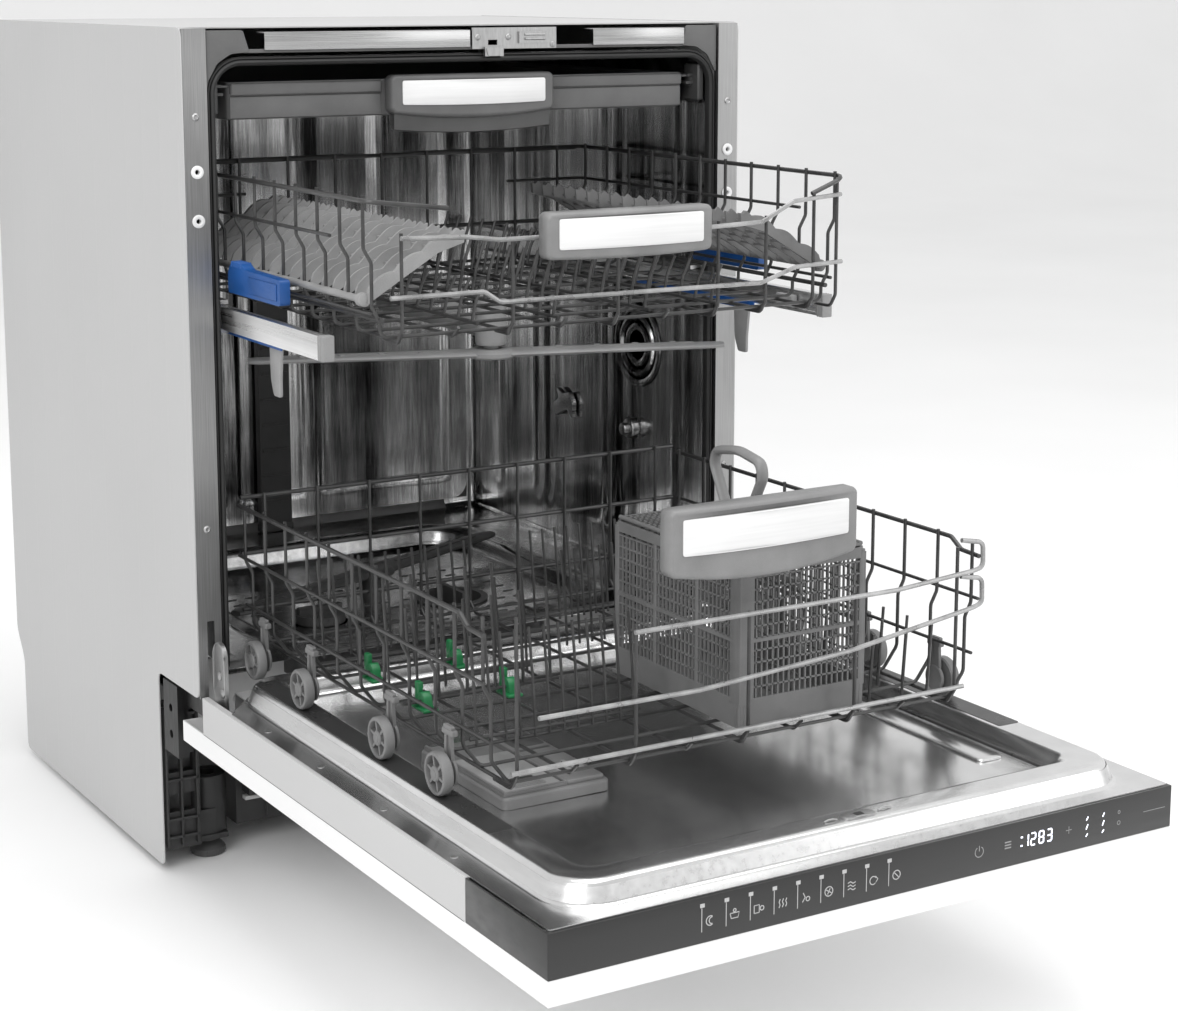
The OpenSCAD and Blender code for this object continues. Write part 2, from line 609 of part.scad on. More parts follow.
// Fold-up cup shelf: scalloped fingers on a hinge rod along the basket's side, rising inwards
module cup_shelf() color("grey") {
  z0 = up_floor + 34;
  translate([up_half - 9, 0, z0]) rotate([-90, 0, 0]) translate([0, 0, up_y0 + 26])
    cylinder(r = 3, h = up_len - 70, $fn = fn_round);
  for (i = [0:8]) translate([0, up_y0 + 36 + i * 48, 0]) front_plate(-2, 2)
    polygon([[up_half - 10, z0 + 2.6], [up_half - 44, z0 + 24], [up_half - 78, z0 + 43], [up_half - 102, z0 + 50],
      [up_half - 100, z0 + 44], [up_half - 76, z0 + 36.5], [up_half - 42, z0 + 16.5], [up_half - 10, z0 - 2.6]]);
  for (rib = [[24, 8.6], [50, 24.3], [76, 39.2]]) let (x = up_half - rib[0], z = z0 + rib[1])
    block([x - 3, up_y0 + 34.5, z - 1.5], [x + 3, up_y0 + 421.5, z + 1.5]);
}

module shelf_right() cup_shelf();

module shelf_left() mirror([1, 0, 0]) cup_shelf();

module up_tines() color("grey") {
  for (x = [-50, 44]) wire([x, up_y0 + 20, up_floor + 6.6], [x, up_y1 - 20, up_floor + 6.6], thin_r);
  for (x = [-50, 44], i = [0:8]) let (y = up_y0 + 30 + i * 50)
    wire([x, y, up_floor + 6.4], [x + 14, y, up_floor + 58], thin_r - 0.1);
}

module upper_spray_arm() color("grey") translate([0, up_y0 + up_len / 2, 0]) difference() {
  union() {
    translate([0, 0, up_floor - 61]) rotate([0, 0, arm_turn]) arm_blade(arm_up_r, 7);
    translate([0, 0, up_floor - 61]) cylinder(r = 18, h = 10, $fn = fn_round);
  }
  translate([0, 0, up_floor - 70]) cylinder(r = 8 + run_gap, h = 30, $fn = fn_round);
  for (s = [-1, 1], i = [1:4]) rotate([0, 0, arm_turn]) translate([s * (34 + i * 40), s * 4, up_floor - 56])
    cylinder(r = 2, h = 5, $fn = 12);
}

module cutlery_tray() color("grey") difference() {
  union() {
    block([-246, tray_y0, tray_z], [246, tray_y0 + 416, tray_z + 34]);
    both() block([240, tray_y0, tray_z + 29.2], [258, tray_y0 + 416, tray_z + 31.4]);
  }
  block([-243.6, tray_y0 + 2.4, tray_z + 2.4], [243.6, tray_y0 + 413.6, tray_z + 60]);
  for (s = [-1, 1], i = [0:5]) block([s * 134 - 90, tray_y0 + 30 + i * 62, tray_z - 1],
    [s * 134 + 90, tray_y0 + 74 + i * 62, tray_z + 4]);
}

module tray_handle() color("grey") difference() {
  union() {
    front_plate(tray_y0 - 20, tray_y0 - 0.3) translate([0, tray_z + 16]) round_rect(176, 36, 6);
    block([-84, tray_y0 - 18, tray_z - 16], [84, tray_y0 - 10, tray_z + 2]);
  }
  front_plate(tray_y0 - 21, tray_y0 - 18) translate([0, tray_z + 18]) round_rect(154, 18, 2);
  block([-76, tray_y0 - 14, tray_z - 30], [76, tray_y0 - 4, tray_z + 24]);
}

place() side_left();
place() side_right();
place() top_panel();
place() back_panel();
place() front_strips();
place() strip_bushes();
place() top_bar();
place() latch_catch();
place() tub();
place() gasket();
place() sump();
place() filter_plate();
place() water_duct();
place() rail_guides();
place() tray_runners();
place() base_pan();
place() hinge_brackets();
place() leg_brackets();
place() filter_cup();
place() salt_cap();
place() lower_spray_arm();
place() foot_left();
place() foot_right();
place() foot_rear();
place() door_shell();
place() door_outer();
place() door_pan();
place() fascia();
place() hinge_plates();
place() dispenser();
place() dispenser_lid();
place() rinse_flap();
place() low_floor_grid();
place() low_sides();
place() low_ends();
place() low_handle();
place() wheel_carriers();
place() tine_clips();
place() tines_left();
place() tines_mid();
place() wheels_a();
place() wheels_b();
place() wheels_c();
place() wheels_d();
place() cutlery_basket();
place() cutlery_lid_left();
place() cutlery_lid_right();
place() cutlery_grip();
place() up_floor_grid();
place() up_sides();
place() up_ends();
place() up_handle();
place() up_rails();
place() adjusters();
place() shelf_left();
place() shelf_right();
place() up_tines();
place() upper_spray_arm();
place() cutlery_tray();
place() tray_handle();
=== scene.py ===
"""Built-in dishwasher with its door down and both baskets rolled out.

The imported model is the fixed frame. Every class below makes one sub-assembly in
millimetres, measured from the front plane of the cabinet, and hands it over in metres.
"""

from __future__ import annotations

import logging  # noqa: E402
import math  # noqa: E402
import json  # noqa: E402
from dataclasses import dataclass  # noqa: E402
from enum import Enum  # noqa: E402
from typing import Callable, Iterable, Sequence, Union  # noqa: E402

import bmesh  # noqa: E402
import bpy  # noqa: E402
from mathutils import Matrix, Vector  # noqa: E402

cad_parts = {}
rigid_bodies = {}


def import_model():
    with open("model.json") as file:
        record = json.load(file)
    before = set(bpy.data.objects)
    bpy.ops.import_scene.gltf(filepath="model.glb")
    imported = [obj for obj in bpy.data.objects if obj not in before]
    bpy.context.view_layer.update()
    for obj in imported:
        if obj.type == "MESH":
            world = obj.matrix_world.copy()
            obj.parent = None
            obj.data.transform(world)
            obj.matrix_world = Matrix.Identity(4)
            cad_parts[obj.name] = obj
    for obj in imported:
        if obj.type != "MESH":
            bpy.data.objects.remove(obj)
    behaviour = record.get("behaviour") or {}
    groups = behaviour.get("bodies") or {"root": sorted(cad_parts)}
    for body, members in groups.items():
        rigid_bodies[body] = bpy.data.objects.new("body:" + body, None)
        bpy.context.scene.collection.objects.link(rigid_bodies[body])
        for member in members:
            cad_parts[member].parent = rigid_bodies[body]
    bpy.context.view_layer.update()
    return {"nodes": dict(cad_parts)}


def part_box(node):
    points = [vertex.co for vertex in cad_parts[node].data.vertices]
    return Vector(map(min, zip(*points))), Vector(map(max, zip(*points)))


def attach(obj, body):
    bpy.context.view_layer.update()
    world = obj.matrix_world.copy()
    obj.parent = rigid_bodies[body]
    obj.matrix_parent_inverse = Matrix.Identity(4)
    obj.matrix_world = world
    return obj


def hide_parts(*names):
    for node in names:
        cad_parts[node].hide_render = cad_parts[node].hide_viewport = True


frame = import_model()
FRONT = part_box("front_strips")[0].y
LOG = logging.getLogger("dishwasher")
MM = 0.001

Point = tuple[float, float, float]
Flat = tuple[float, float]


class Plane(Enum):
    """The plane in which an outline is drawn, and so the axis along which it is pulled."""

    XY = "z"
    XZ = "y"
    YZ = "x"

    def lift(self, uv: Flat, along: float) -> Point:
        """The point at uv in this plane, at a distance along its axis."""
        u, v = uv
        return {"z": (u, v, along), "y": (u, along, v), "x": (along, u, v)}[self.value]


class Side(Enum):
    """The two sides of the machine, by the sign of X."""

    LEFT = -1
    RIGHT = 1


# --------------------------------------------------------------------------- materials


class Val:
    """A number on its way through a material; arithmetic on it adds Math nodes."""

    def __init__(self, graph: "Graph", socket: bpy.types.NodeSocket) -> None:
        """Keeps the graph and the output socket that carries the number."""
        self.graph = graph
        self.socket = socket

    def _calc(self, operation: str, *terms: "Val | float") -> "Val":
        """Adds one Math node.

        Args:
            operation: the Math node's operation.
            terms: its inputs in order.

        Returns:
            The node's result.
        """
        made = self.graph.node("ShaderNodeMath", {"operation": operation}, dict(enumerate(terms)))
        return Val(self.graph, made.outputs[0])

    def __add__(self, other: "Val | float") -> "Val":
        """Sum."""
        return self._calc("ADD", self, other)

    def __radd__(self, other: float) -> "Val":
        """Sum with a plain number in front."""
        return self._calc("ADD", other, self)

    def __sub__(self, other: "Val | float") -> "Val":
        """Difference."""
        return self._calc("SUBTRACT", self, other)

    def __rsub__(self, other: float) -> "Val":
        """Difference from a plain number."""
        return self._calc("SUBTRACT", other, self)

    def __mul__(self, other: "Val | float") -> "Val":
        """Product."""
        return self._calc("MULTIPLY", self, other)

    def __rmul__(self, other: float) -> "Val":
        """Product with a plain number in front."""
        return self._calc("MULTIPLY", other, self)

    def sine(self) -> "Val":
        """Sine of the value in radians."""
        return self._calc("SINE", self)

    def between(self, low: float, high: float, to_low: float = 0.0, to_high: float = 1.0) -> "Val":
        """Maps low..high to to_low..to_high and holds it there.

        Args:
            low: input that gives to_low.
            high: input that gives to_high.
            to_low: output at and below low.
            to_high: output at and above high.

        Returns:
            The mapped value.
        """
        made = self.graph.node(
            "ShaderNodeMapRange",
            {"clamp": True},
            {"Value": self, "From Min": low, "From Max": high, "To Min": to_low, "To Max": to_high},
        )
        return Val(self.graph, made.outputs[0])


Feed = Union[Val, bpy.types.NodeSocket, float, Sequence[float]]


class Graph:
    """The node tree of one material while it is being put together."""

    def __init__(self, name: str) -> None:
        """Starts an empty material of that name."""
        self.material = bpy.data.materials.new(name)
        self.material.use_nodes = True
        self.tree = self.material.node_tree
        self.tree.nodes.clear()
        self.place = self.node("ShaderNodeTexCoord").outputs["Object"]

    def node(
        self,
        kind: str,
        settings: dict[str, object] | None = None,
        inputs: dict[str | int, Feed] | None = None,
    ) -> bpy.types.Node:
        """Adds a node.

        Args:
            kind: the node's type.
            settings: its properties, set first.
            inputs: values or links for its sockets, by name or number.

        Returns:
            The node.
        """
        made = self.tree.nodes.new(kind)
        for key, value in (settings or {}).items():
            setattr(made, key, value)
        for key, value in (inputs or {}).items():
            if isinstance(value, Val):
                self.tree.links.new(value.socket, made.inputs[key])
            elif isinstance(value, bpy.types.NodeSocket):
                self.tree.links.new(value, made.inputs[key])
            else:
                made.inputs[key].default_value = value
        return made

    def stretched(self, scale: Point) -> bpy.types.NodeSocket:
        """Object coordinates scaled along each axis."""
        return self.node("ShaderNodeMapping", None, {"Vector": self.place, "Scale": scale}).outputs[0]

    def noise(self, scale: float, detail: float = 2.0, vector: Feed | None = None) -> Val:
        """Noise from nought to one.

        Args:
            scale: how fine it is, per metre.
            detail: how many finer layers it has.
            vector: where it is read; object coordinates if left out.

        Returns:
            The noise value.
        """
        made = self.node(
            "ShaderNodeTexNoise",
            None,
            {"Vector": self.place if vector is None else vector, "Scale": scale, "Detail": detail},
        )
        return Val(self, made.outputs[0])

    def axis(self, name: str) -> Val:
        """One object coordinate in metres: X, Y or Z."""
        return Val(self, self.node("ShaderNodeSeparateXYZ", None, {0: self.place}).outputs[name])

    def tint(self, low: Sequence[float], high: Sequence[float], factor: Val) -> bpy.types.NodeSocket:
        """A colour between two colours."""
        made = self.node(
            "ShaderNodeMix",
            {"data_type": "RGBA"},
            {0: factor, 6: (*low, 1.0), 7: (*high, 1.0)},
        )
        return made.outputs[2]

    def bump(self, height: Val, distance: float, strength: float = 1.0) -> bpy.types.NodeSocket:
        """A normal pushed about by a height from nought to one, distance metres deep."""
        return self.node(
            "ShaderNodeBump", None, {"Height": height, "Distance": distance, "Strength": strength}
        ).outputs[0]

    def surface(self, **inputs: Feed) -> bpy.types.Material:
        """Adds the surface shader and the output, and returns the finished material.

        Args:
            inputs: the shader's sockets by name, with _ for a space.

        Returns:
            The material.
        """
        named = {key.replace("_", " "): value for key, value in inputs.items()}
        shader = self.node("ShaderNodeBsdfPrincipled", None, named)
        self.node("ShaderNodeOutputMaterial", None, {0: shader.outputs[0]})
        return self.material


def grey(tone: float) -> Point:
    """A neutral colour of that brightness."""
    return (tone, tone, tone)


def shade(colour: Sequence[float], by: float) -> Point:
    """The colour made lighter or darker."""
    return tuple(min(1.0, c * by) for c in colour)  # type: ignore[return-value]


@dataclass(frozen=True)
class Finish:
    """A surface finish that makes its material once and hands it out after that."""

    name: str

    def make(self, graph: Graph) -> bpy.types.Material:
        """Builds the nodes; each kind of finish has its own."""
        raise NotImplementedError

    def material(self) -> bpy.types.Material:
        """The finish's material, made on first use."""
        return bpy.data.materials.get(self.name) or self.make(Graph(self.name))


@dataclass(frozen=True)
class Lacquer(Finish):
    """Powder-coated sheet with a fine orange-peel skin and faint pressed lines."""

    colour: Point = (0.6, 0.6, 0.6)
    rough: float = 0.42
    line_pitch: float = 0.0

    def make(self, graph: Graph) -> bpy.types.Material:
        """Orange peel, slow shading of the tone, and the pressed lines where there are any, raised in the
        bump and lightened in the colour as a painted highlight.
        """
        drift = graph.noise(3.0, 2.0)
        peel = graph.noise(900.0, 1.0)
        height = peel * 0.12
        tone = drift.between(0.3, 0.7)
        if self.line_pitch:
            run = (graph.axis("Y") * (2 * math.pi / self.line_pitch)).sine()
            line = run.between(0.93, 1.0)
            height = height + line * 0.9
            # Painted highlight: the colour is lightened along the pressed lines.
            tone = tone * 0.8 + line * 0.2
        return graph.surface(
            Base_Color=graph.tint(shade(self.colour, 0.965), shade(self.colour, 1.03), tone),
            Roughness=peel.between(0.3, 0.7, self.rough - 0.04, self.rough + 0.05),
            Normal=graph.bump(height, 0.0004, 0.35),
            Specular_IOR_Level=0.45,
        )


@dataclass(frozen=True)
class BrushedSteel(Finish):
    """Ground steel sheet whose grain runs along one axis."""

    colour: Point = (0.5, 0.5, 0.5)
    rough: float = 0.34
    grain: Point = (1400.0, 1400.0, 14.0)
    metal: float = 1.0
    depth: float = 0.00012
    spread: float = 1.0

    def make(self, graph: Graph) -> bpy.types.Material:
        """Long streaks in the tone, the roughness and the bump."""
        streak = graph.noise(1.0, 3.0, graph.stretched(self.grain))
        cloud = graph.noise(9.0, 3.0)
        mixed = streak * 0.6 + cloud * 0.4
        return graph.surface(
            Base_Color=graph.tint(
                shade(self.colour, 1.0 - 0.28 * self.spread),
                shade(self.colour, 1.0 + 0.2 * self.spread),
                mixed.between(0.3, 0.7),
            ),
            Metallic=self.metal,
            Roughness=streak.between(0.3, 0.7, self.rough - 0.07, self.rough + 0.08),
            Normal=graph.bump(streak, self.depth, 0.5),
        )


@dataclass(frozen=True)
class PolishedSteel(Finish):
    """Bright pressed steel: slow waves of the sheet, fine rolling streaks and dull patches, and painted
    reflections: its colour swings between a dark and a bright tone with them.
    """

    colour: Point = (0.5, 0.5, 0.5)
    rough: float = 0.16
    wave: float = 0.0016
    stretch: Point = (34.0, 34.0, 2.2)
    dark: float = 0.42
    bright: float = 1.5
    haze: float = 0.14

    def make(self, graph: Graph) -> bpy.types.Material:
        """Large waves bend the reflections; streaks and haze break them up, and the same noises paint dark
        and bright reflection streaks into the base colour.
        """
        waves = graph.noise(1.0, 2.0, graph.stretched(self.stretch))
        fine = graph.noise(1.0, 2.0, graph.stretched(tuple(s * 16 for s in self.stretch)))
        haze = graph.noise(7.0, 4.0)
        # Painted reflections: tone sweeps the base colour from the dark to the bright factor of the colour.
        tone = waves * 0.55 + haze * 0.25 + fine * 0.2
        return graph.surface(
            Base_Color=graph.tint(
                shade(self.colour, self.dark), shade(self.colour, self.bright), tone.between(0.38, 0.62)
            ),
            Metallic=1.0,
            Roughness=haze.between(0.3, 0.72, self.rough, self.rough + self.haze),
            Normal=graph.bump(waves * 0.9 + fine * 0.04, self.wave, 0.55),
        )


@dataclass(frozen=True)
class Moulded(Finish):
    """Injection-moulded plastic with a fine spark-eroded skin."""

    colour: Point = (0.16, 0.16, 0.16)
    rough: float = 0.45
    skin: float = 0.00006
    coat: float = 0.0

    def make(self, graph: Graph) -> bpy.types.Material:
        """A fine grain, slow flow marks, and slightly rubbed high spots."""
        grain = graph.noise(2600.0, 1.0)
        flow = graph.noise(26.0, 4.0)
        mixed = grain * 0.35 + flow * 0.65
        return graph.surface(
            Base_Color=graph.tint(
                shade(self.colour, 0.8), shade(self.colour, 1.2), mixed.between(0.32, 0.68)
            ),
            Roughness=flow.between(0.3, 0.7, self.rough - 0.06, self.rough + 0.08),
            Normal=graph.bump(grain, self.skin, 0.6),
            Coat_Weight=self.coat,
            Specular_IOR_Level=0.5,
        )


@dataclass(frozen=True)
class CoatedWire(Finish):
    """Nylon-dipped wire: a soft shine, thicker runs and a few dull places."""

    colour: Point = (0.05, 0.05, 0.05)
    rough: float = 0.32
    metal: float = 0.0

    def make(self, graph: Graph) -> bpy.types.Material:
        """Runs along the wire and small pits."""
        runs = graph.noise(55.0, 3.0)
        pits = graph.noise(900.0, 2.0)
        return graph.surface(
            Base_Color=graph.tint(
                shade(self.colour, 0.7), shade(self.colour, 1.45),
                (runs * 0.7 + pits * 0.3).between(0.3, 0.7),
            ),
            Metallic=self.metal,
            Roughness=runs.between(0.3, 0.7, self.rough - 0.06, self.rough + 0.14),
            Normal=graph.bump(pits, 0.00012, 0.5),
            Coat_Weight=0.25,
        )


@dataclass(frozen=True)
class GlossPanel(Finish):
    """Smoked control panel: deep, smooth, with faint wipe marks."""

    colour: Point = (0.03, 0.03, 0.03)
    rough: float = 0.2

    def make(self, graph: Graph) -> bpy.types.Material:
        """Wipe marks only in the roughness, and a slow drift of the tone."""
        wipe = graph.noise(1.0, 4.0, graph.stretched((18.0, 60.0, 140.0)))
        drift = graph.noise(5.0, 2.0)
        return graph.surface(
            Base_Color=graph.tint(
                shade(self.colour, 0.85), shade(self.colour, 1.15), drift.between(0.3, 0.7)
            ),
            Roughness=wipe.between(0.35, 0.7, self.rough, self.rough + 0.12),
            Normal=graph.bump(wipe, 0.00004, 0.4),
            Coat_Weight=0.12,
        )


@dataclass(frozen=True)
class Marking(Finish):
    """Printed or back-lit marks on the control panel."""

    colour: Point = (0.5, 0.5, 0.5)
    glow: float = 0.0

    def make(self, graph: Graph) -> bpy.types.Material:
        """A screen-print speckle, and light of its own where the mark is lit."""
        speck = graph.noise(1500.0, 2.0).between(0.3, 0.7)
        colour = graph.tint(shade(self.colour, 0.8), self.colour, speck)
        return graph.surface(
            Base_Color=colour,
            Roughness=speck.between(0.0, 1.0, 0.4, 0.55),
            Emission_Color=colour,
            Emission_Strength=self.glow,
        )


# The side-panel lacquer carries pressed lines with a painted highlight along them.
SHEET_GREY = Lacquer("casing_lacquer", grey(0.47), 0.5, 0.045)
SHEET_PLAIN = Lacquer("casing_lacquer_plain", grey(0.47), 0.45)
SHEET_PALE = Lacquer("door_edge_lacquer", grey(0.5), 0.42)
SHEET_WHITE = Lacquer("door_outer_lacquer", grey(0.8), 0.36)
STRIP = BrushedSteel("strip_steel", grey(0.34), 0.4)
CHANNEL = BrushedSteel("channel_steel", grey(0.45), 0.3, (14.0, 1400.0, 1400.0))
BRACKET = BrushedSteel("bracket_zinc", grey(0.42), 0.42, (500.0, 500.0, 60.0))
# Painted reflections: the tub steel's wide dark-to-bright range paints deep dark and bright streaks into its
# colour; basin and pan steel do the same more mildly.
TUB_STEEL = PolishedSteel("tub_steel", grey(0.4), 0.1, 0.0022, (30.0, 30.0, 1.6), 0.12, 2.3)
FLOOR_STEEL = PolishedSteel("basin_steel", grey(0.62), 0.12, 0.0012, (6.0, 6.0, 6.0))
PAN_STEEL = PolishedSteel("pan_steel", grey(0.8), 0.2, 0.0003, (3.0, 3.0, 3.0), 0.85, 1.12, 0.05)
RIM_STEEL = BrushedSteel("rim_steel", grey(0.72), 0.3, (150.0, 12.0, 150.0), 1.0, 0.00002, 0.4)
TRACK = Moulded("track_dark", grey(0.035), 0.3)
RUBBER = Moulded("gasket_rubber", grey(0.012), 0.55, 0.0001)
TRIM_DARK = Moulded("corner_trim_plastic", grey(0.1), 0.5)
BLACK = Moulded("base_black_plastic", grey(0.02), 0.42, 0.0001)
GREY_PLASTIC = Moulded("tray_grey_plastic", grey(0.115), 0.45)
HANDLE_GREY = Moulded("handle_grey_plastic", grey(0.2), 0.4)
MID_GREY = Moulded("mid_grey_plastic", grey(0.15), 0.42)
PALE_GREY = Moulded("pale_grey_plastic", grey(0.26), 0.45)
DARK_GREY = Moulded("dark_grey_plastic", grey(0.06), 0.42)
WHITE_PLASTIC = Moulded("white_plastic", grey(0.75), 0.4)
BLUE = Moulded("lever_blue_plastic", (0.01, 0.075, 0.27), 0.38)
GREEN = Moulded("clip_green_plastic", (0.012, 0.17, 0.055), 0.36)
WIRE = CoatedWire("wire_coating", grey(0.042), 0.34, 0.3)
FRONT_WIRE = CoatedWire("front_wire_coating", grey(0.32), 0.3, 0.6)
LABEL = BrushedSteel("label_silver", grey(0.76), 0.5, (8.0, 400.0, 400.0), 0.2, 0.00003, 0.25)
RAIL = BrushedSteel("rail_steel", grey(0.75), 0.3, (400.0, 8.0, 400.0), 1.0, 0.00005, 0.5)
BRACKET_DARK = BrushedSteel("bracket_dark", grey(0.05), 0.45, (500.0, 500.0, 60.0))
PANEL = GlossPanel("control_panel", grey(0.016), 0.3)
PRINT = Marking("panel_print", grey(0.5))
PRINT_DIM = Marking("panel_print_dim", grey(0.3))
LIT = Marking("panel_digits", (0.85, 0.88, 1.0), 2.2)


# ------------------------------------------------------------------------ mesh making


def rounded(width: float, height: float, radius: float, steps: int = 6) -> list[Flat]:
    """A rounded rectangle about the origin, anticlockwise.

    Args:
        width: size across.
        height: size up.
        radius: corner radius.
        steps: parts of each corner.

    Returns:
        Four times steps plus one points.
    """
    radius = max(0.05, min(radius, width / 2 - 0.01, height / 2 - 0.01))
    made = []
    for corner, (sx, sy) in enumerate(((1, 1), (-1, 1), (-1, -1), (1, -1))):
        for i in range(steps + 1):
            angle = math.radians(90 * (corner + i / steps))
            made.append(
                (
                    sx * (width / 2 - radius) + radius * math.cos(angle),
                    sy * (height / 2 - radius) + radius * math.sin(angle),
                )
            )
    return made


def level(ring: Iterable[Flat], z: float) -> list[Point]:
    """Lays a plan outline at one height."""
    return [(u, v, z) for u, v in ring]


def spaced(ring: Sequence[Flat], wide: float) -> list[Flat]:
    """Adds points along the sides of an outline that are longer than half its width."""
    dense = []
    for i, a in enumerate(ring):
        b = ring[(i + 1) % len(ring)]
        parts = 10 if abs(a[0] - b[0]) > wide / 2 else 1
        dense += [(a[0] + (b[0] - a[0]) * k / parts, a[1] + (b[1] - a[1]) * k / parts) for k in range(parts)]
    return dense


def shifted(points: Iterable[Flat], du: float, dv: float) -> list[Flat]:
    """The outline moved by du, dv."""
    return [(u + du, v + dv) for u, v in points]


def smooth_line(points: Sequence[Flat], radius: float, steps: int = 4, closed: bool = True) -> list[Flat]:
    """An outline with each corner rounded.

    Args:
        points: the sharp outline.
        radius: corner radius, shortened where an edge is too short for it.
        steps: parts of each corner.
        closed: whether the last point joins the first.

    Returns:
        The rounded outline.
    """
    made: list[Flat] = []
    count = len(points)
    for i, point in enumerate(points):
        if not closed and i in (0, count - 1):
            made.append(point)
            continue
        here = Vector(point)
        before, after = Vector(points[i - 1]), Vector(points[(i + 1) % count])
        reach = min(radius, (before - here).length * 0.45, (after - here).length * 0.45)
        start = here + (before - here).normalized() * reach
        end = here + (after - here).normalized() * reach
        for j in range(steps + 1):
            t = j / steps
            spot = start * (1 - t) ** 2 + here * 2 * t * (1 - t) + end * t * t
            made.append((spot.x, spot.y))
    return made


class Shape:
    """The faces of one piece, in millimetres from the front plane."""

    def __init__(self) -> None:
        """Starts with nothing."""
        self.bm = bmesh.new()

    def face(self, corners: Sequence[bmesh.types.BMVert]) -> None:
        """Adds a face unless two of its corners are one, or it is there already."""
        if len(set(corners)) == len(corners) >= 3 and self.bm.faces.get(corners) is None:
            self.bm.faces.new(corners)

    def loft(
        self,
        rings: Sequence[Sequence[Point]],
        closed: bool = True,
        caps: tuple[bool, bool] = (True, True),
        loop: bool = False,
    ) -> "Shape":
        """Joins rings of as many points each by strips of faces.

        Args:
            rings: the rings in order.
            closed: whether each ring is closed.
            caps: whether the first and the last ring are filled.
            loop: whether the last ring joins the first.

        Returns:
            The shape itself.
        """
        rows = [[self.bm.verts.new(p) for p in ring] for ring in rings]
        size = len(rows[0])
        pairs = list(zip(rows, rows[1:])) + ([(rows[-1], rows[0])] if loop else [])
        for a, b in pairs:
            for i in range(size if closed else size - 1):
                j = (i + 1) % size
                self.face((a[i], a[j], b[j], b[i]))
        if not loop and closed:
            if caps[0]:
                self.face(rows[0][::-1])
            if caps[1]:
                self.face(rows[-1])
        return self

    def prism(
        self, outline: Sequence[Flat], low: float, high: float, plane: Plane = Plane.XY, edge: float = 0.0
    ) -> "Shape":
        """Pulls an outline from low to high, with its rims broken by a small chamfer.

        Args:
            outline: the outline in the plane.
            low: where it starts along the axis.
            high: where it ends.
            plane: the plane of the outline.
            edge: size of the chamfer at both ends; only for convex outlines.

        Returns:
            The shape itself.
        """
        levels = [(low, 0.0), (high, 0.0)]
        if edge:
            levels = [
                (low, edge), (low + edge * 0.3, edge * 0.3), (low + edge, 0.0), (high - edge, 0.0),
                (high - edge * 0.3, edge * 0.3), (high, edge),
            ]
        middle = (sum(u for u, _ in outline) / len(outline), sum(v for _, v in outline) / len(outline))
        spans = (
            max(abs(u - middle[0]) for u, _ in outline),
            max(abs(v - middle[1]) for _, v in outline),
        )
        rings = []
        for along, inset in levels:
            ring = [
                (
                    middle[0] + (u - middle[0]) * (1 - inset / spans[0]),
                    middle[1] + (v - middle[1]) * (1 - inset / spans[1]),
                )
                for u, v in outline
            ]
            rings.append([plane.lift(uv, along) for uv in ring])
        return self.loft(rings)

    def block(self, low: Point, high: Point, edge: float = 0.4) -> "Shape":
        """A box between two corners with broken edges.

        Args:
            low: its low corner.
            high: its high corner.
            edge: how much the edges are broken.

        Returns:
            The shape itself.
        """
        size = [h - l for l, h in zip(low, high)]
        edge = min(edge, min(size) * 0.3)
        outline = shifted(
            rounded(size[0], size[1], edge, 1), (low[0] + high[0]) / 2, (low[1] + high[1]) / 2
        )
        return self.prism(outline, low[2], high[2], Plane.XY, edge)

    def lathe(
        self, profile: Sequence[Flat], centre: Point, axis: Plane = Plane.XY, steps: int = 40
    ) -> "Shape":
        """Turns a profile of radius and height about an axis through the centre.

        Args:
            profile: radius and height pairs from one end to the other.
            centre: a point of the axis.
            axis: the plane across the axis.
            steps: parts of the turn.

        Returns:
            The shape itself.
        """
        rings = []
        for radius, height in profile:
            flat = [
                (radius * math.cos(2 * math.pi * i / steps), radius * math.sin(2 * math.pi * i / steps))
                for i in range(steps)
            ]
            rings.append([tuple(Vector(axis.lift(uv, height)) + Vector(centre)) for uv in flat])
        return self.loft(rings)

    def tube(self, points: Sequence[Point], radius: float, sides: int = 10) -> "Shape":
        """A round bar along a smooth line of points.

        Args:
            points: the line.
            radius: its radius.
            sides: faces round it.

        Returns:
            The shape itself.
        """
        return self.sweep(
            points,
            [
                (radius * math.cos(2 * math.pi * i / sides), radius * math.sin(2 * math.pi * i / sides))
                for i in range(sides)
            ],
        )

    def sweep(
        self, points: Sequence[Point], section: Sequence[Flat], up: Point = (0.0, 0.0, 1.0),
        closed: bool = False,
    ) -> "Shape":
        """Carries a closed section along a line.

        Args:
            points: the line.
            section: the section, first number across the line and second along up.
            up: the direction that the section's second number keeps as near as it can.
            closed: whether the line is closed.

        Returns:
            The shape itself.
        """
        rings = []
        count = len(points)
        for i, point in enumerate(points):
            before = Vector(points[i - 1] if closed or i else point)
            after = Vector(points[(i + 1) % count] if closed or i < count - 1 else point)
            ahead = (after - before).normalized()
            lift = Vector(up)
            if abs(ahead.dot(lift)) > 0.98:
                lift = Vector((0.0, 1.0, 0.0)) if abs(ahead.y) < 0.9 else Vector((1.0, 0.0, 0.0))
            across = ahead.cross(lift).normalized()
            over = across.cross(ahead).normalized()
            rings.append([tuple(Vector(point) + across * a + over * b) for a, b in section])
        return self.loft(rings, loop=closed)

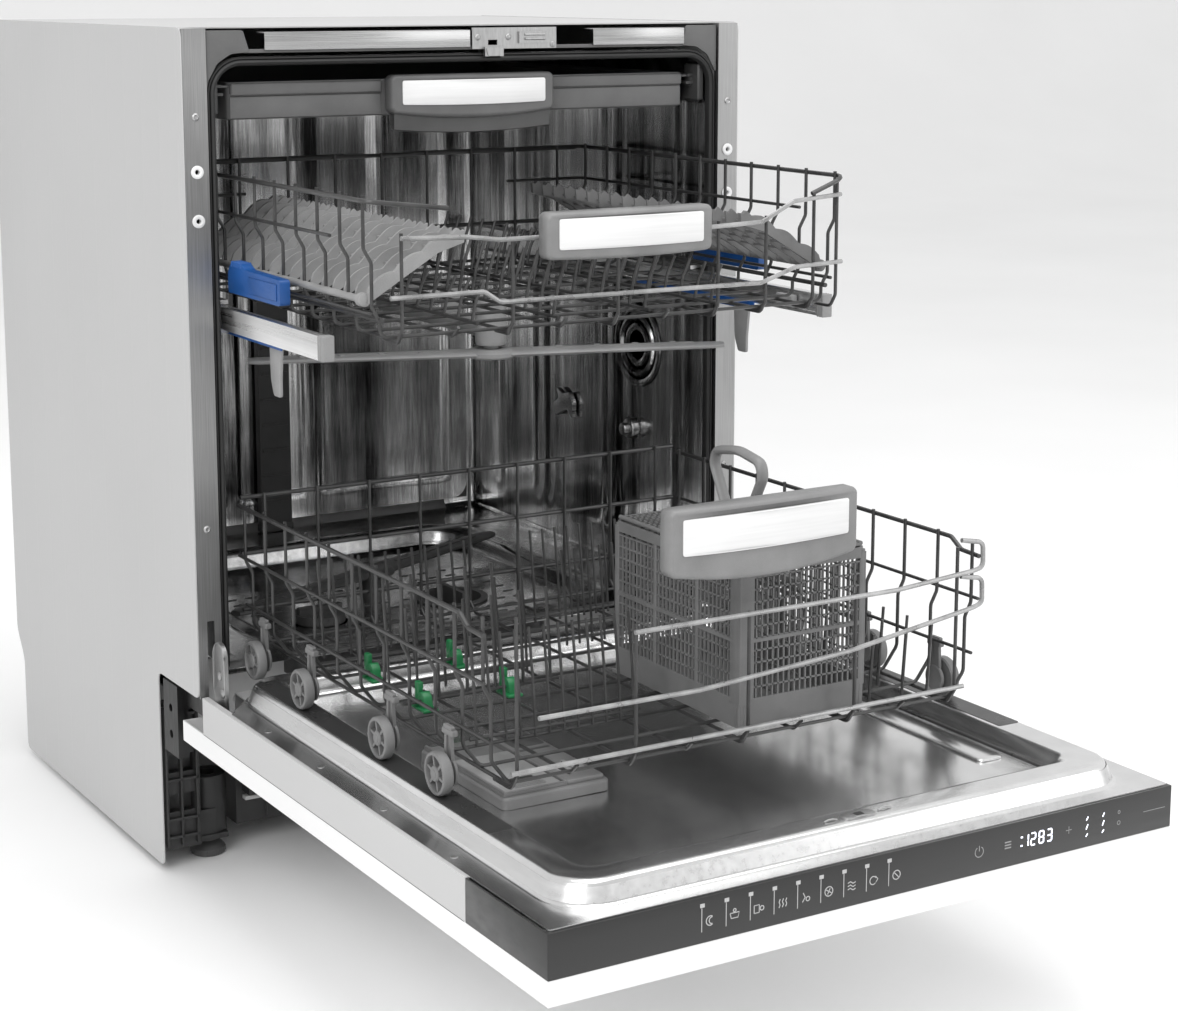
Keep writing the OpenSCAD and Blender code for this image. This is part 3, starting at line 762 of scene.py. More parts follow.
    def absorb(self, mesh: bpy.types.Mesh) -> "Shape":
        """Takes in a mesh made in metres elsewhere, which is removed after that."""
        part = bmesh.new()
        part.from_mesh(mesh)
        lookup = {
            v.index: self.bm.verts.new((v.co.x / MM, (v.co.y - FRONT) / MM, v.co.z / MM))
            for v in part.verts
        }
        for f in part.faces:
            self.face([lookup[v.index] for v in f.verts])
        part.free()
        bpy.data.meshes.remove(mesh)
        return self

    def bend(self, rule: Callable[[Vector], Vector]) -> "Shape":
        """Moves every point by a rule from old place to new place."""
        for v in self.bm.verts:
            v.co = rule(v.co.copy())
        return self

    def mirrored(self) -> "Shape":
        """Adds the same faces on the other side of the machine."""
        copy = bmesh.ops.duplicate(self.bm, geom=self.bm.verts[:] + self.bm.edges[:] + self.bm.faces[:])
        twins = [g for g in copy["geom"] if isinstance(g, bmesh.types.BMVert)]
        for v in twins:
            v.co.x = -v.co.x
        bmesh.ops.reverse_faces(self.bm, faces=[g for g in copy["geom"] if isinstance(g, bmesh.types.BMFace)])
        return self

    def piece(
        self,
        name: str,
        finish: Finish,
        body: str,
        slot: str,
        stands_for: Sequence[str] = (),
        smooth: float = 38.0,
        thick: float = 0.0,
        round_off: float = 0.0,
    ) -> bpy.types.Object:
        """Turns the shape into an object that rides on a body.

        Args:
            name: the piece's name.
            finish: its finish.
            body: the CAD body that it rides on.
            slot: the record's material slot; not used.
            stands_for: CAD nodes that it replaces.
            smooth: edges flatter than this many degrees are shaded smooth.
            thick: wall thickness in millimetres that an open skin gets, outwards.
            round_off: width in millimetres to which sharp edges are rounded.

        Returns:
            The object.
        """
        bmesh.ops.remove_doubles(self.bm, verts=self.bm.verts, dist=0.0005)
        bmesh.ops.recalc_face_normals(self.bm, faces=self.bm.faces)
        for v in self.bm.verts:
            v.co = Vector((v.co.x * MM, v.co.y * MM + FRONT, v.co.z * MM))
        mesh = bpy.data.meshes.new(name)
        self.bm.to_mesh(mesh)
        self.bm.free()
        obj = bpy.data.objects.new(name, mesh)
        bpy.context.scene.collection.objects.link(obj)
        if thick:
            wall = obj.modifiers.new("wall", "SOLIDIFY")
            wall.thickness, wall.offset = thick * MM, 1.0
        if round_off:
            edge = obj.modifiers.new("edge", "BEVEL")
            edge.width, edge.segments = round_off * MM, 2
            edge.limit_method, edge.angle_limit = "ANGLE", math.radians(40)
        if thick or round_off:
            plain(obj)
        mesh = obj.data
        mesh.materials.clear()
        mesh.materials.append(finish.material())
        mesh.polygons.foreach_set("use_smooth", [True] * len(mesh.polygons))
        mesh.set_sharp_from_angle(angle=math.radians(smooth))
        return settle(obj, body, stands_for)


def plain(obj: bpy.types.Object) -> None:
    """Turns the object's evaluated shape into its own mesh and removes its modifiers."""
    graph = bpy.context.evaluated_depsgraph_get()
    mesh = bpy.data.meshes.new_from_object(obj.evaluated_get(graph))
    old = obj.data
    obj.modifiers.clear()
    obj.data = mesh
    mesh.name = obj.name
    bpy.data.meshes.remove(old)


def settle(obj: bpy.types.Object, body: str, stands_for: Sequence[str] = ()) -> bpy.types.Object:
    """Makes a finished object ride on its body and logs it.

    Args:
        obj: the object, in place.
        body: the CAD body.
        stands_for: CAD nodes that it replaces.

    Returns:
        The object.
    """
    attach(obj, body)
    if stands_for:
        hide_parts(*stands_for)
    LOG.info("%s: %d faces on %s", obj.name, len(obj.data.polygons), body)
    return obj


def dress(finish: Finish, *nodes: str) -> None:
    """Gives CAD nodes that stay as they are a finish.

    Args:
        finish: the finish.
        nodes: the nodes' names.
    """
    for name in nodes:
        mesh = frame["nodes"][name].data
        mesh.materials.clear()
        mesh.materials.append(finish.material())
        LOG.info("%s: CAD shape in %s", name, finish.name)


# ---------------------------------------------------------------------- geometry nodes


class NodeRecipe:
    """A Geometry Nodes tree that is built once and run on many inputs."""

    name = "recipe"

    def __init__(self) -> None:
        """Builds the tree."""
        self.tree = bpy.data.node_groups.new(self.name, "GeometryNodeTree")
        self.ids: dict[str, str] = {}
        self.socket("Geometry", "NodeSocketGeometry")
        self.tree.interface.new_socket("Geometry", in_out="OUTPUT", socket_type="NodeSocketGeometry")
        self.entry = self.tree.nodes.new("NodeGroupInput")
        self.lay_out()

    def lay_out(self) -> None:
        """Adds the tree's nodes; each recipe has its own."""
        raise NotImplementedError

    def socket(self, label: str, kind: str, default: object = None) -> None:
        """Adds a named input.

        Args:
            label: the input's name.
            kind: its socket type.
            default: its value if nothing is set.
        """
        made = self.tree.interface.new_socket(label, in_out="INPUT", socket_type=kind)
        if default is not None:
            made.default_value = default
        self.ids[label] = made.identifier

    def node(
        self, kind: str, settings: dict[str, object] | None = None,
        inputs: dict[str | int, object] | None = None,
    ) -> bpy.types.Node:
        """Adds a node.

        Args:
            kind: the node's type.
            settings: its properties.
            inputs: links or values of its sockets.

        Returns:
            The node.
        """
        made = self.tree.nodes.new(kind)
        for key, value in (settings or {}).items():
            setattr(made, key, value)
        for key, value in (inputs or {}).items():
            if isinstance(value, bpy.types.NodeSocket):
                self.tree.links.new(value, made.inputs[key])
            else:
                made.inputs[key].default_value = value
        return made

    def close(self, geometry: bpy.types.NodeSocket) -> None:
        """Ends the tree in Realize Instances and Set Material."""
        real = self.node("GeometryNodeRealizeInstances", None, {0: geometry})
        dressed = self.node(
            "GeometryNodeSetMaterial",
            None,
            {"Geometry": real.outputs[0], "Material": self.entry.outputs["Finish"]},
        )
        self.node("NodeGroupOutput", None, {0: dressed.outputs[0]})

    def run(self, runs: Sequence[Sequence[Point]], **values: object) -> bpy.types.Mesh:
        """Runs the tree on lines of points.

        Args:
            runs: lines in millimetres; a line of one point is a lone point.
            values: the tree's inputs by name, with _ for a space.

        Returns:
            A plain mesh in metres.
        """
        mesh = bpy.data.meshes.new(self.name)
        verts = [(p[0] * MM, p[1] * MM + FRONT, p[2] * MM) for run in runs for p in run]
        edges, start = [], 0
        for run in runs:
            edges += [(start + i, start + i + 1) for i in range(len(run) - 1)]
            start += len(run)
        mesh.from_pydata(verts, edges, [])
        obj = bpy.data.objects.new(self.name, mesh)
        bpy.context.scene.collection.objects.link(obj)
        modifier = obj.modifiers.new("recipe", "NODES")
        modifier.node_group = self.tree
        for key, value in values.items():
            modifier[self.ids[key.replace("_", " ")]] = value
        graph = bpy.context.evaluated_depsgraph_get()
        made = bpy.data.meshes.new_from_object(obj.evaluated_get(graph))
        bpy.data.objects.remove(obj)
        bpy.data.meshes.remove(mesh)
        return made


class WireRecipe(NodeRecipe):
    """Bends lines into round wires with soft corners, and repeats them at a step."""

    name = "bent_wire"

    def lay_out(self) -> None:
        """Line to curve, corners rounded, swept, and set out along a step."""
        self.socket("Radius", "NodeSocketFloat", 0.002)
        self.socket("Bend", "NodeSocketFloat", 0.008)
        self.socket("Sides", "NodeSocketInt", 8)
        self.socket("Count", "NodeSocketInt", 1)
        self.socket("Step", "NodeSocketVector", (0.0, 0.0, 0.0))
        self.socket("Finish", "NodeSocketMaterial")
        out = self.entry.outputs
        curve = self.node("GeometryNodeMeshToCurve", None, {0: out["Geometry"]})
        soft = self.node("GeometryNodeFilletCurve")
        if hasattr(soft, "mode"):
            soft.mode = "POLY"
        self.tree.links.new(curve.outputs[0], soft.inputs["Curve"])
        self.tree.links.new(out["Bend"], soft.inputs["Radius"])
        soft.inputs["Count"].default_value = 4
        soft.inputs["Limit Radius"].default_value = True
        ring = self.node(
            "GeometryNodeCurvePrimitiveCircle", None, {"Resolution": out["Sides"], "Radius": out["Radius"]}
        )
        swept = self.node(
            "GeometryNodeCurveToMesh",
            None,
            {"Curve": soft.outputs[0], "Profile Curve": ring.outputs[0], "Fill Caps": True},
        )
        line = self.node(
            "GeometryNodeMeshLine",
            None,
            {"Count": out["Count"], "Offset": out["Step"], "Start Location": (0.0, 0.0, 0.0)},
        )
        spread = self.node(
            "GeometryNodeInstanceOnPoints", None, {"Points": line.outputs[0], "Instance": swept.outputs[0]}
        )
        self.close(spread.outputs[0])


class ScatterRecipe(NodeRecipe):
    """Sets copies of one object on points."""

    name = "set_out"

    def lay_out(self) -> None:
        """Instances the template on each point, turned as asked."""
        self.socket("Template", "NodeSocketObject")
        self.socket("Turn", "NodeSocketVector", (0.0, 0.0, 0.0))
        self.socket("Finish", "NodeSocketMaterial")
        out = self.entry.outputs
        info = self.node("GeometryNodeObjectInfo", {"transform_space": "ORIGINAL"}, {0: out["Template"]})
        turn = self.node("FunctionNodeEulerToRotation", None, {0: out["Turn"]})
        spread = self.node(
            "GeometryNodeInstanceOnPoints",
            None,
            {"Points": out["Geometry"], "Instance": info.outputs["Geometry"], "Rotation": turn.outputs[0]},
        )
        self.close(spread.outputs[0])


class LatticeRecipe(NodeRecipe):
    """A flat lattice of upright and level bars in the X-Z plane, turned and moved into place."""

    name = "lattice"

    def lay_out(self) -> None:
        """Two rows of bars, then the turn and the move."""
        for label in ("Width", "Height", "Bar", "Depth"):
            self.socket(label, "NodeSocketFloat", 0.01)
        self.socket("Columns", "NodeSocketInt", 8)
        self.socket("Rows", "NodeSocketInt", 8)
        self.socket("Turn", "NodeSocketVector", (0.0, 0.0, 0.0))
        self.socket("Move", "NodeSocketVector", (0.0, 0.0, 0.0))
        self.socket("Finish", "NodeSocketMaterial")
        out = self.entry.outputs
        joined = self.node("GeometryNodeJoinGeometry")
        for span, tall, count, upright in (
            ("Width", "Height", "Columns", True), ("Height", "Width", "Rows", False)
        ):
            half = self.node("ShaderNodeMath", {"operation": "MULTIPLY"}, {0: out[span], 1: 0.5}).outputs[0]
            low = self.node("ShaderNodeMath", {"operation": "MULTIPLY"}, {0: half, 1: -1.0}).outputs[0]
            start = self.node("ShaderNodeCombineXYZ", None, {"X" if upright else "Z": low}).outputs[0]
            end = self.node("ShaderNodeCombineXYZ", None, {"X" if upright else "Z": half}).outputs[0]
            line = self.node(
                "GeometryNodeMeshLine",
                {"mode": "END_POINTS"},
                {"Count": out[count], "Start Location": start, "Offset": end},
            )
            size = self.node(
                "ShaderNodeCombineXYZ",
                None,
                {
                    "X": out["Bar"] if upright else out[tall], "Y": out["Depth"],
                    "Z": out[tall] if upright else out["Bar"],
                },
            ).outputs[0]
            bar = self.node("GeometryNodeMeshCube", None, {"Size": size})
            spread = self.node(
                "GeometryNodeInstanceOnPoints",
                None,
                {"Points": line.outputs[0], "Instance": bar.outputs[0]},
            )
            self.tree.links.new(spread.outputs[0], joined.inputs[0])
        moved = self.node(
            "GeometryNodeTransform",
            None,
            {"Geometry": joined.outputs[0], "Translation": out["Move"], "Rotation": out["Turn"]},
        )
        self.close(moved.outputs[0])


WIRES = WireRecipe()
SCATTER = ScatterRecipe()
LATTICE = LatticeRecipe()


def bent(
    shape: Shape, runs: Sequence[Sequence[Point]], radius: float, bend: float = 8.0, count: int = 1,
    step: Point = (0.0, 0.0, 0.0), sides: int = 8,
) -> None:
    """Adds wires to a shape.

    Args:
        shape: the shape that takes them.
        runs: lines in millimetres.
        radius: wire radius.
        bend: corner radius.
        count: how many times the lines are repeated.
        step: from one repeat to the next.
        sides: faces round a wire.
    """
    shape.absorb(
        WIRES.run(
            runs,
            Radius=radius * MM,
            Bend=bend * MM,
            Sides=sides,
            Count=count,
            Step=tuple(s * MM for s in step),
            Finish=WIRE.material(),
        )
    )


def scattered(shape: Shape, template: Shape, points: Sequence[Point], turn: Point = (0.0, 0.0, 0.0)) -> None:
    """Adds copies of a small template, drawn about the origin in millimetres, to a shape.

    Args:
        shape: the shape that takes them.
        template: what is copied.
        points: where, in millimetres.
        turn: rotation in degrees about X, Y and Z.
    """
    mesh = bpy.data.meshes.new("template")
    bmesh.ops.scale(template.bm, verts=template.bm.verts, vec=(MM, MM, MM))
    bmesh.ops.recalc_face_normals(template.bm, faces=template.bm.faces)
    template.bm.to_mesh(mesh)
    template.bm.free()
    holder = bpy.data.objects.new("template", mesh)
    bpy.context.scene.collection.objects.link(holder)
    shape.absorb(
        SCATTER.run(
            [[p] for p in points],
            Template=holder,
            Turn=tuple(math.radians(t) for t in turn),
            Finish=WIRE.material(),
        )
    )
    bpy.data.objects.remove(holder)
    bpy.data.meshes.remove(mesh)


def latticed(
    shape: Shape, size: Flat, bars: tuple[int, int], bar: float, depth: float, at: Point,
    turn: Point = (0.0, 0.0, 0.0),
) -> None:
    """Adds a lattice to a shape.

    Args:
        shape: the shape that takes it.
        size: width and height of the field.
        bars: upright and level bars.
        bar: width of a bar.
        depth: thickness of the lattice.
        at: its middle, in millimetres.
        turn: rotation in degrees; unturned it lies in the X-Z plane.
    """
    shape.absorb(
        LATTICE.run(
            [[(0.0, 0.0, 0.0)]],
            Width=size[0] * MM,
            Height=size[1] * MM,
            Bar=bar * MM,
            Depth=depth * MM,
            Columns=bars[0],
            Rows=bars[1],
            Turn=tuple(math.radians(t) for t in turn),
            Move=(at[0] * MM, at[1] * MM + FRONT, at[2] * MM),
            Finish=WIRE.material(),
        )
    )


# ---------------------------------------------------------------------- sub-assemblies


@dataclass
class Studio:
    """Plain pale floor, soft light and the camera."""

    eye: Point = (-1068.0, -1974.0, 859.0)
    heading: float = 31.09
    dip: float = 9.81
    lens: float = 71.6
    rise: float = -0.1

    def build(self) -> None:
        """Makes the camera, the floor, the world and the lamps."""
        self.camera()
        self.floor()
        self.light()

    def camera(self) -> None:
        """The camera in front of the left corner, looking slightly down."""
        data = bpy.data.cameras.new("camera")
        data.lens, data.sensor_width, data.shift_y = self.lens, 36.0, self.rise
        data.clip_start, data.clip_end = 0.05, 50.0
        obj = bpy.data.objects.new("camera", data)
        bpy.context.scene.collection.objects.link(obj)
        obj.location = (self.eye[0] * MM, self.eye[1] * MM + FRONT, self.eye[2] * MM)
        obj.rotation_euler = (math.radians(90 - self.dip), 0.0, math.radians(-self.heading))
        bpy.context.scene.camera = obj

    def floor(self) -> None:
        """A wide pale floor that rises behind the machine."""
        graph = Graph("studio_floor")
        cloud = graph.noise(1.5, 3.0)
        material = graph.surface(
            Base_Color=graph.tint(grey(0.9), grey(0.93), cloud.between(0.3, 0.7)),
            Roughness=cloud.between(0.3, 0.7, 0.55, 0.65),
        )
        bm = bmesh.new()
        rows = [(-9.0, 0.0), (5.0, 0.0)]
        rows += [(5.0 + 2.5 * math.sin(a), 2.5 * (1 - math.cos(a))) for a in (0.2, 0.5, 0.8, 1.1, 1.4, 1.57)]
        rows += [(7.5, 9.0)]
        made = [[bm.verts.new((x, y, z)) for x in (-10.0, 10.0)] for y, z in rows]
        for a, b in zip(made, made[1:]):
            bm.faces.new((a[0], a[1], b[1], b[0]))
        mesh = bpy.data.meshes.new("floor")
        bm.to_mesh(mesh)
        bm.free()
        mesh.materials.append(material)
        mesh.polygons.foreach_set("use_smooth", [True] * len(mesh.polygons))
        obj = bpy.data.objects.new("floor", mesh)
        bpy.context.scene.collection.objects.link(obj)

    def light(self) -> None:
        """A pale world, a broad lamp from the left, a top lamp and a weak one from the right."""
        scene = bpy.context.scene
        world = bpy.data.worlds.new("studio")
        scene.world = world
        world.use_nodes = True
        backdrop = world.node_tree.nodes["Background"]
        backdrop.inputs[0].default_value = (1.0, 1.0, 1.0, 1.0)
        backdrop.inputs[1].default_value = 0.85
        scene.view_settings.view_transform = "Standard"
        lamps = (
            ("key", (-2.6, -2.2, 2.6), (0.0, 0.0, 0.4), 2.2, 62.0),
            ("top", (0.3, -0.6, 3.2), (0.0, 0.0, 0.5), 2.4, 46.0),
            ("fill", (2.6, -2.6, 1.4), (0.0, 0.0, 0.5), 1.6, 16.0),
        )
        for name, place, aim, size, power in lamps:
            data = bpy.data.lights.new(name, "AREA")
            data.shape, data.size, data.energy = "SQUARE", size, power
            obj = bpy.data.objects.new(name, data)
            obj.location = place
            obj.rotation_euler = (Vector(aim) - Vector(place)).to_track_quat("-Z", "Y").to_euler()
            scene.collection.objects.link(obj)


@dataclass
class Casing:
    """Side panels, strips, top bars, latch, screws and the corner trims round the opening."""

    half: float = 299.0
    height: float = 820.0
    depth: float = 550.0
    skirt: float = 205.0
    plinth: float = 105.0
    sheet: float = 1.2
    fix_x: float = 286.3

    def build(self) -> None:
        """Makes every piece of the casing."""
        for side in Side:
            self.panel(side)
        dress(SHEET_PLAIN, "top_panel", "back_panel")
        dress(STRIP, "front_strips")
        dress(BRACKET, "latch_catch")
        dress(BRACKET_DARK, "hinge_brackets")
        self.bushes()
        self.bars()
        self.trims()
        self.latch_details()

    def panel(self, side: Side) -> None:
        """One side panel with its rounded step at the back and folded edges."""
        outline = smooth_line(
            [
                (0.0, self.skirt),
                (0.0, self.height),
                (self.depth, self.height),
                (self.depth, 142.0),
                (self.depth - 22.0, 112.0),
                (self.depth - 22.0, 8.0),
                (self.plinth, 8.0),
                (self.plinth, self.skirt),
            ],
            9.0,
        )
        shape = Shape().prism(outline, self.half - self.sheet, self.half, Plane.YZ)
        for y0, z0, y1, z1 in ((2, 817.8, 545, 819.4), (self.depth - 1.4, 150, self.depth - 0.2, 815)):
            shape.block((self.half - 13, y0, z0), (self.half - self.sheet, y1, z1), 0.3)
        shape.bend(lambda p: Vector((p.x * side.value, p.y, p.z)))
        node = f"side_{side.name.lower()}"
        shape.piece(f"casing_{node}", SHEET_GREY, "cabinet", "casing_paint", [node], smooth=30.0)

    def bushes(self) -> None:
        """White flanged bushes in the strips and the small screws between them."""
        bush = Shape().lathe(
            [
                (2.25, -3.5), (4.5, -3.5), (4.5, 0.2), (6.0, 0.2), (6.0, 0.9), (5.3, 1.5), (3.2, 1.7),
                (2.25, 1.1),
            ],
            (0.0, 0.0, 0.0),
            steps=28,
        )
        inner = bush.bm.faces[:]
        for f in inner:
            if len(f.verts) > 4:
                bush.bm.faces.remove(f)
        bush.loft(
            [
                [
                    (2.25 * math.cos(2 * math.pi * i / 28), 2.25 * math.sin(2 * math.pi * i / 28), z)
                    for i in range(28)
                ]
                for z in (1.1, -3.5)
            ],
            caps=(False, False),
        )
        spots = [(s * self.fix_x, -0.05, z) for s in (-1, 1) for z in (648.0, 692.0)]
        shape = Shape()
        scattered(shape, bush, spots, (90.0, 0.0, 0.0))
        shape.piece("strip_bushes_white", WHITE_PLASTIC, "cabinet", "plastic_white", ["strip_bushes"])
        screw = Shape().lathe(
            [(0.6, -1.0), (3.6, -1.0), (3.6, 0.2), (2.9, 1.0), (1.9, 1.3), (1.2, 0.5), (0.6, 0.45)],
            (0, 0, 0),
            steps=20,
        )
        shape = Shape()
        scattered(
            shape,
            screw,
            [(s * self.fix_x, -0.2, z) for s in (-1, 1) for z in (365.0, 741.0)],
            (90.0, 0.0, 0.0),
        )
        shape.piece("strip_screws", BRACKET, "cabinet", "bright_steel")

    def bars(self) -> None:
        """The two pale channels along the top edge of the opening."""
        section = [
            (1.0, 799.0), (1.0, 815.0), (20.0, 815.0), (20.0, 813.6), (2.4, 813.6), (2.4, 800.4),
            (9.0, 800.4), (9.0, 799.0),
        ]
        shape = Shape()
        for x0, x1 in ((-218.0, -8.0), (128.0, 234.0)):
            shape.prism(section, x0, x1, Plane.YZ)
        shape.piece("top_channels", CHANNEL, "cabinet", "bright_steel", ["top_bar"], round_off=0.5)

    def trims(self) -> None:
        """Dark corner trims above the gasket."""
        shape = Shape()
        for s in (-1, 1):
            corner = [
                (s * x, z)
                for x, z in (
                    (273.5, 817.0), (238.0, 817.0), (232.0, 797.5), (250.0, 796.0), (263.0, 788.0),
                    (273.5, 770.0),
                )
            ]
            shape.prism(smooth_line(corner, 2.5), 2.6, 5.6, Plane.XZ)
            shape.block((min(s * 273.5, s * 268.5), 5.0, 560.0), (max(s * 273.5, s * 268.5), 8.0, 772.0), 0.4)
        shape.prism([(-236.0, 796.6), (236.0, 796.6), (236.0, 800.0), (-236.0, 800.0)], 4.0, 8.0, Plane.XZ)
        shape.piece("corner_trims", TRIM_DARK, "cabinet", "plastic_black", round_off=0.5)

    def latch_details(self) -> None:
        """Rivets, a bent tongue and small stiffening beads on the latch catch."""
        rivet = Shape().lathe(
            [(0.5, -0.5), (3.0, -0.5), (3.0, 0.4), (2.2, 1.1), (0.5, 1.3)], (0, 0, 0), steps=16
        )
        shape = Shape()
        scattered(
            shape,
            rivet,
            [(x, 1.0, z) for x, z in ((0.0, 808.0), (33.0, 808.0), (82.0, 800.5))],
            (90.0, 0.0, 0.0),
        )
        shape.tube([(50.0, -1.2, 806.0), (72.0, -1.2, 806.0)], 1.3)
        shape.tube([(50.0, -1.2, 810.0), (72.0, -1.2, 810.0)], 1.0)
        shape.prism(
            smooth_line([(9.0, 790.5), (23.0, 790.5), (25.0, 798.0), (7.0, 798.0)], 2.0),
            -3.2,
            -2.0,
            Plane.XZ,
        )
        shape.piece("latch_details", BRACKET, "cabinet", "bright_steel")


@dataclass
class Tub:
    """The pressed washing tub with its gasket, duct, basin and guides."""

    width: float = 536.0
    low: float = 226.0
    high: float = 788.0
    front: float = 10.0
    back: float = 515.0
    corner: float = 28.0
    foot: float = 6.0
    well_z: float = 204.0
    well: tuple[float, float, float, float] = (400.0, 380.0, 60.0, 250.0)

    def build(self) -> None:
        """Makes the tub and what is fixed in it."""
        self.skin()
        self.back_wall()
        self.basin()
        self.gasket()
        self.wall_fittings()
        dress(DARK_GREY, "sump", "filter_cup", "salt_cap", "water_duct", "tray_runners")
        dress(CHANNEL, "rail_guides")
        dress(FLOOR_STEEL, "filter_plate")
        self.filter_mesh()

    def wall_relief(self, y: float, z: float) -> float:
        """How far a side wall is pressed outwards at a place, in millimetres."""
        if not 262.0 < z < 768.0:
            return 0.0
        fade = min(1.0, (z - 262.0) / 14.0, (768.0 - z) / 14.0)
        rib = 0.0
        for centre, wide in (
            (60.0, 9.0), (176.0, 7.0), (204.0, 7.0), (330.0, 9.0), (356.0, 9.0), (452.0, 12.0)
        ):
            rib = max(rib, 1.0 - ((y - centre) / wide) ** 2)
        if 215.0 < y < 318.0 and 270.0 < z < 540.0:
            rib = max(rib, 0.55 * min(1.0, (y - 215.0) / 8.0, (318.0 - y) / 8.0))
        return 2.6 * max(0.0, rib) * fade

    def skin(self) -> None:
        """Both side walls, the ceiling and the edge of the floor as one rounded skin."""
        high, low, half = self.high, self.low, self.width / 2
        reach = half - self.corner
        path: list[tuple[Flat, Flat]] = [((-reach + 14.0 - 14.0 * i, low), (0.0, -1.0)) for i in range(2)]
        turns = (
            (-1, low, 1, self.foot, 180), (-1, high, -1, self.corner, 90), (1, high, -1, self.corner, 0),
            (1, low, 1, self.foot, -90),
        )
        arcs: list[list[tuple[Flat, Flat]]] = []
        for side, level, inward, edge, end in turns:
            cx, cz = side * (half - edge), level + inward * edge
            arc = []
            for i in range(9):
                a = math.radians(end + 90 - 90 * i / 8)
                arc.append(((cx + edge * math.cos(a), cz + edge * math.sin(a)), (math.cos(a), math.sin(a))))
            arcs.append(arc)
        for k, arc in enumerate(arcs):
            if k:
                start, stop = path[-1], arc[0]
                count = 60 if k != 2 else 44
                for i in range(1, count):
                    t = i / count
                    spot = (start[0][0] * (1 - t) + stop[0][0] * t, start[0][1] * (1 - t) + stop[0][1] * t)
                    path.append((spot, stop[1]))
            path += arc
        path += [((reach, low), (0.0, -1.0)), ((reach - 14.0, low), (0.0, -1.0))]
        depth = [
            self.front + 1.2, self.front + 1.2, self.front + 1.4
        ] + [self.front + 4.0 + i * 4.2 for i in range(117)]
        bend_r = 11.0
        tail = [
            (self.back - bend_r + bend_r * math.sin(a), bend_r * (1 - math.cos(a)))
            for a in (0.4, 0.8, 1.2, 1.57)
        ]
        rings = []
        for i, y in enumerate(depth):
            out = 5.2 if i == 0 else 1.2 if i == 1 else 0.0
            ring = []
            for (x, z), (nx, nz) in path:
                push = out + (self.wall_relief(y, z) if abs(nx) > 0.99 and i > 2 else 0.0)
                ring.append((x + nx * push, y, z + nz * push))
            rings.append(ring)
        for y, inset in tail:
            rings.append([(x - nx * inset, y, z - nz * inset) for (x, z), (nx, nz) in path])
        Shape().loft(rings, closed=False).piece(
            "tub_skin", TUB_STEEL, "cabinet", "bright_steel", ["tub"], thick=0.9
        )

    def back_relief(self, x: float, z: float) -> float:
        """How far the back wall is pressed backwards at a place, in millimetres."""
        push = 0.0
        for x0, z0, x1, z1 in (
            (-232.0, 505.0, -150.0, 770.0),
            (-138.0, 505.0, -60.0, 770.0),
            (60.0, 505.0, 138.0, 770.0),
            (150.0, 505.0, 232.0, 770.0),
            (-232.0, 262.0, -60.0, 485.0),
            (60.0, 262.0, 232.0, 485.0),
            (-44.0, 262.0, 44.0, 770.0),
        ):
            inside = min(x - x0, x1 - x, z - z0, z1 - z)
            if inside > 0:
                push = max(push, min(1.0, inside / 6.0))
        return 4.0 * push * push * (3 - 2 * push)

    def back_wall(self) -> None:
        """The back wall with its pressed panels."""
        half, r = self.width / 2 - 11.0, self.corner - 9.0
        xs = [-half + i * 2 * half / 130 for i in range(131)]
        zs = [self.low + 11.0 + i * (self.high - self.low - 22.0) / 136 for i in range(137)]
        rows = []
        for z in zs:
            row = []
            for x in xs:
                px, pz = x, z
                cx = max(-half + r, min(half - r, x))
                cz = max(self.low + 11.0 + r, min(self.high - 11.0 - r, z))
                off = Vector((x - cx, z - cz))
                if off.length > r:
                    off = off.normalized() * r
                    px, pz = cx + off.x, cz + off.y
                row.append((px, self.back + self.back_relief(px, pz), pz))
            rows.append(row)
        Shape().loft(rows, closed=False).piece("tub_back", TUB_STEEL, "cabinet", "bright_steel")

    def basin(self) -> None:
        """The tub floor with its rounded pressed basin."""
        w, d, r, y = self.well
        rings = []
        half = self.width / 2 - self.corner + 2.0
        for grow, z in (
            (3.0, 0.0), (1.0, 0.6), (-2.0, 3.0), (-4.5, 8.0), (-5.5, 15.0), (-8.0, 19.5), (-14.0, 22.0)
        ):
            ring = shifted(rounded(w + 2 * grow, d + 2 * grow, r + grow, 10), 0.0, y)
            rings.append(level(ring, self.low - z))
        outer = shifted(
            rounded(2 * half, self.back - self.front - 2, 1.0, 10), 0.0, (self.back + self.front) / 2
        )
        bead = shifted(rounded(w + 22, d + 22, r + 11, 10), 0.0, y)
        rise = shifted(rounded(w + 12, d + 12, r + 6, 10), 0.0, y)
        rings.insert(0, level(rise, self.low + 1.1))
        rings.insert(0, level(bead, self.low + 0.1))
        rings.insert(0, level(outer, self.low))
        pit = shifted(rounded(300.0, 210.0, 30.0, 10), 0.0, y - 30.0)
        rings.append(
            [(u, v, self.well_z) for u, v in shifted(rounded(318.0, 228.0, 36.0, 10), 0.0, y - 30.0)]
        )
        rings.append(level(pit, self.well_z - 1.0))
        Shape().loft(rings, caps=(False, False)).piece("tub_basin", FLOOR_STEEL, "cabinet", "bright_steel")

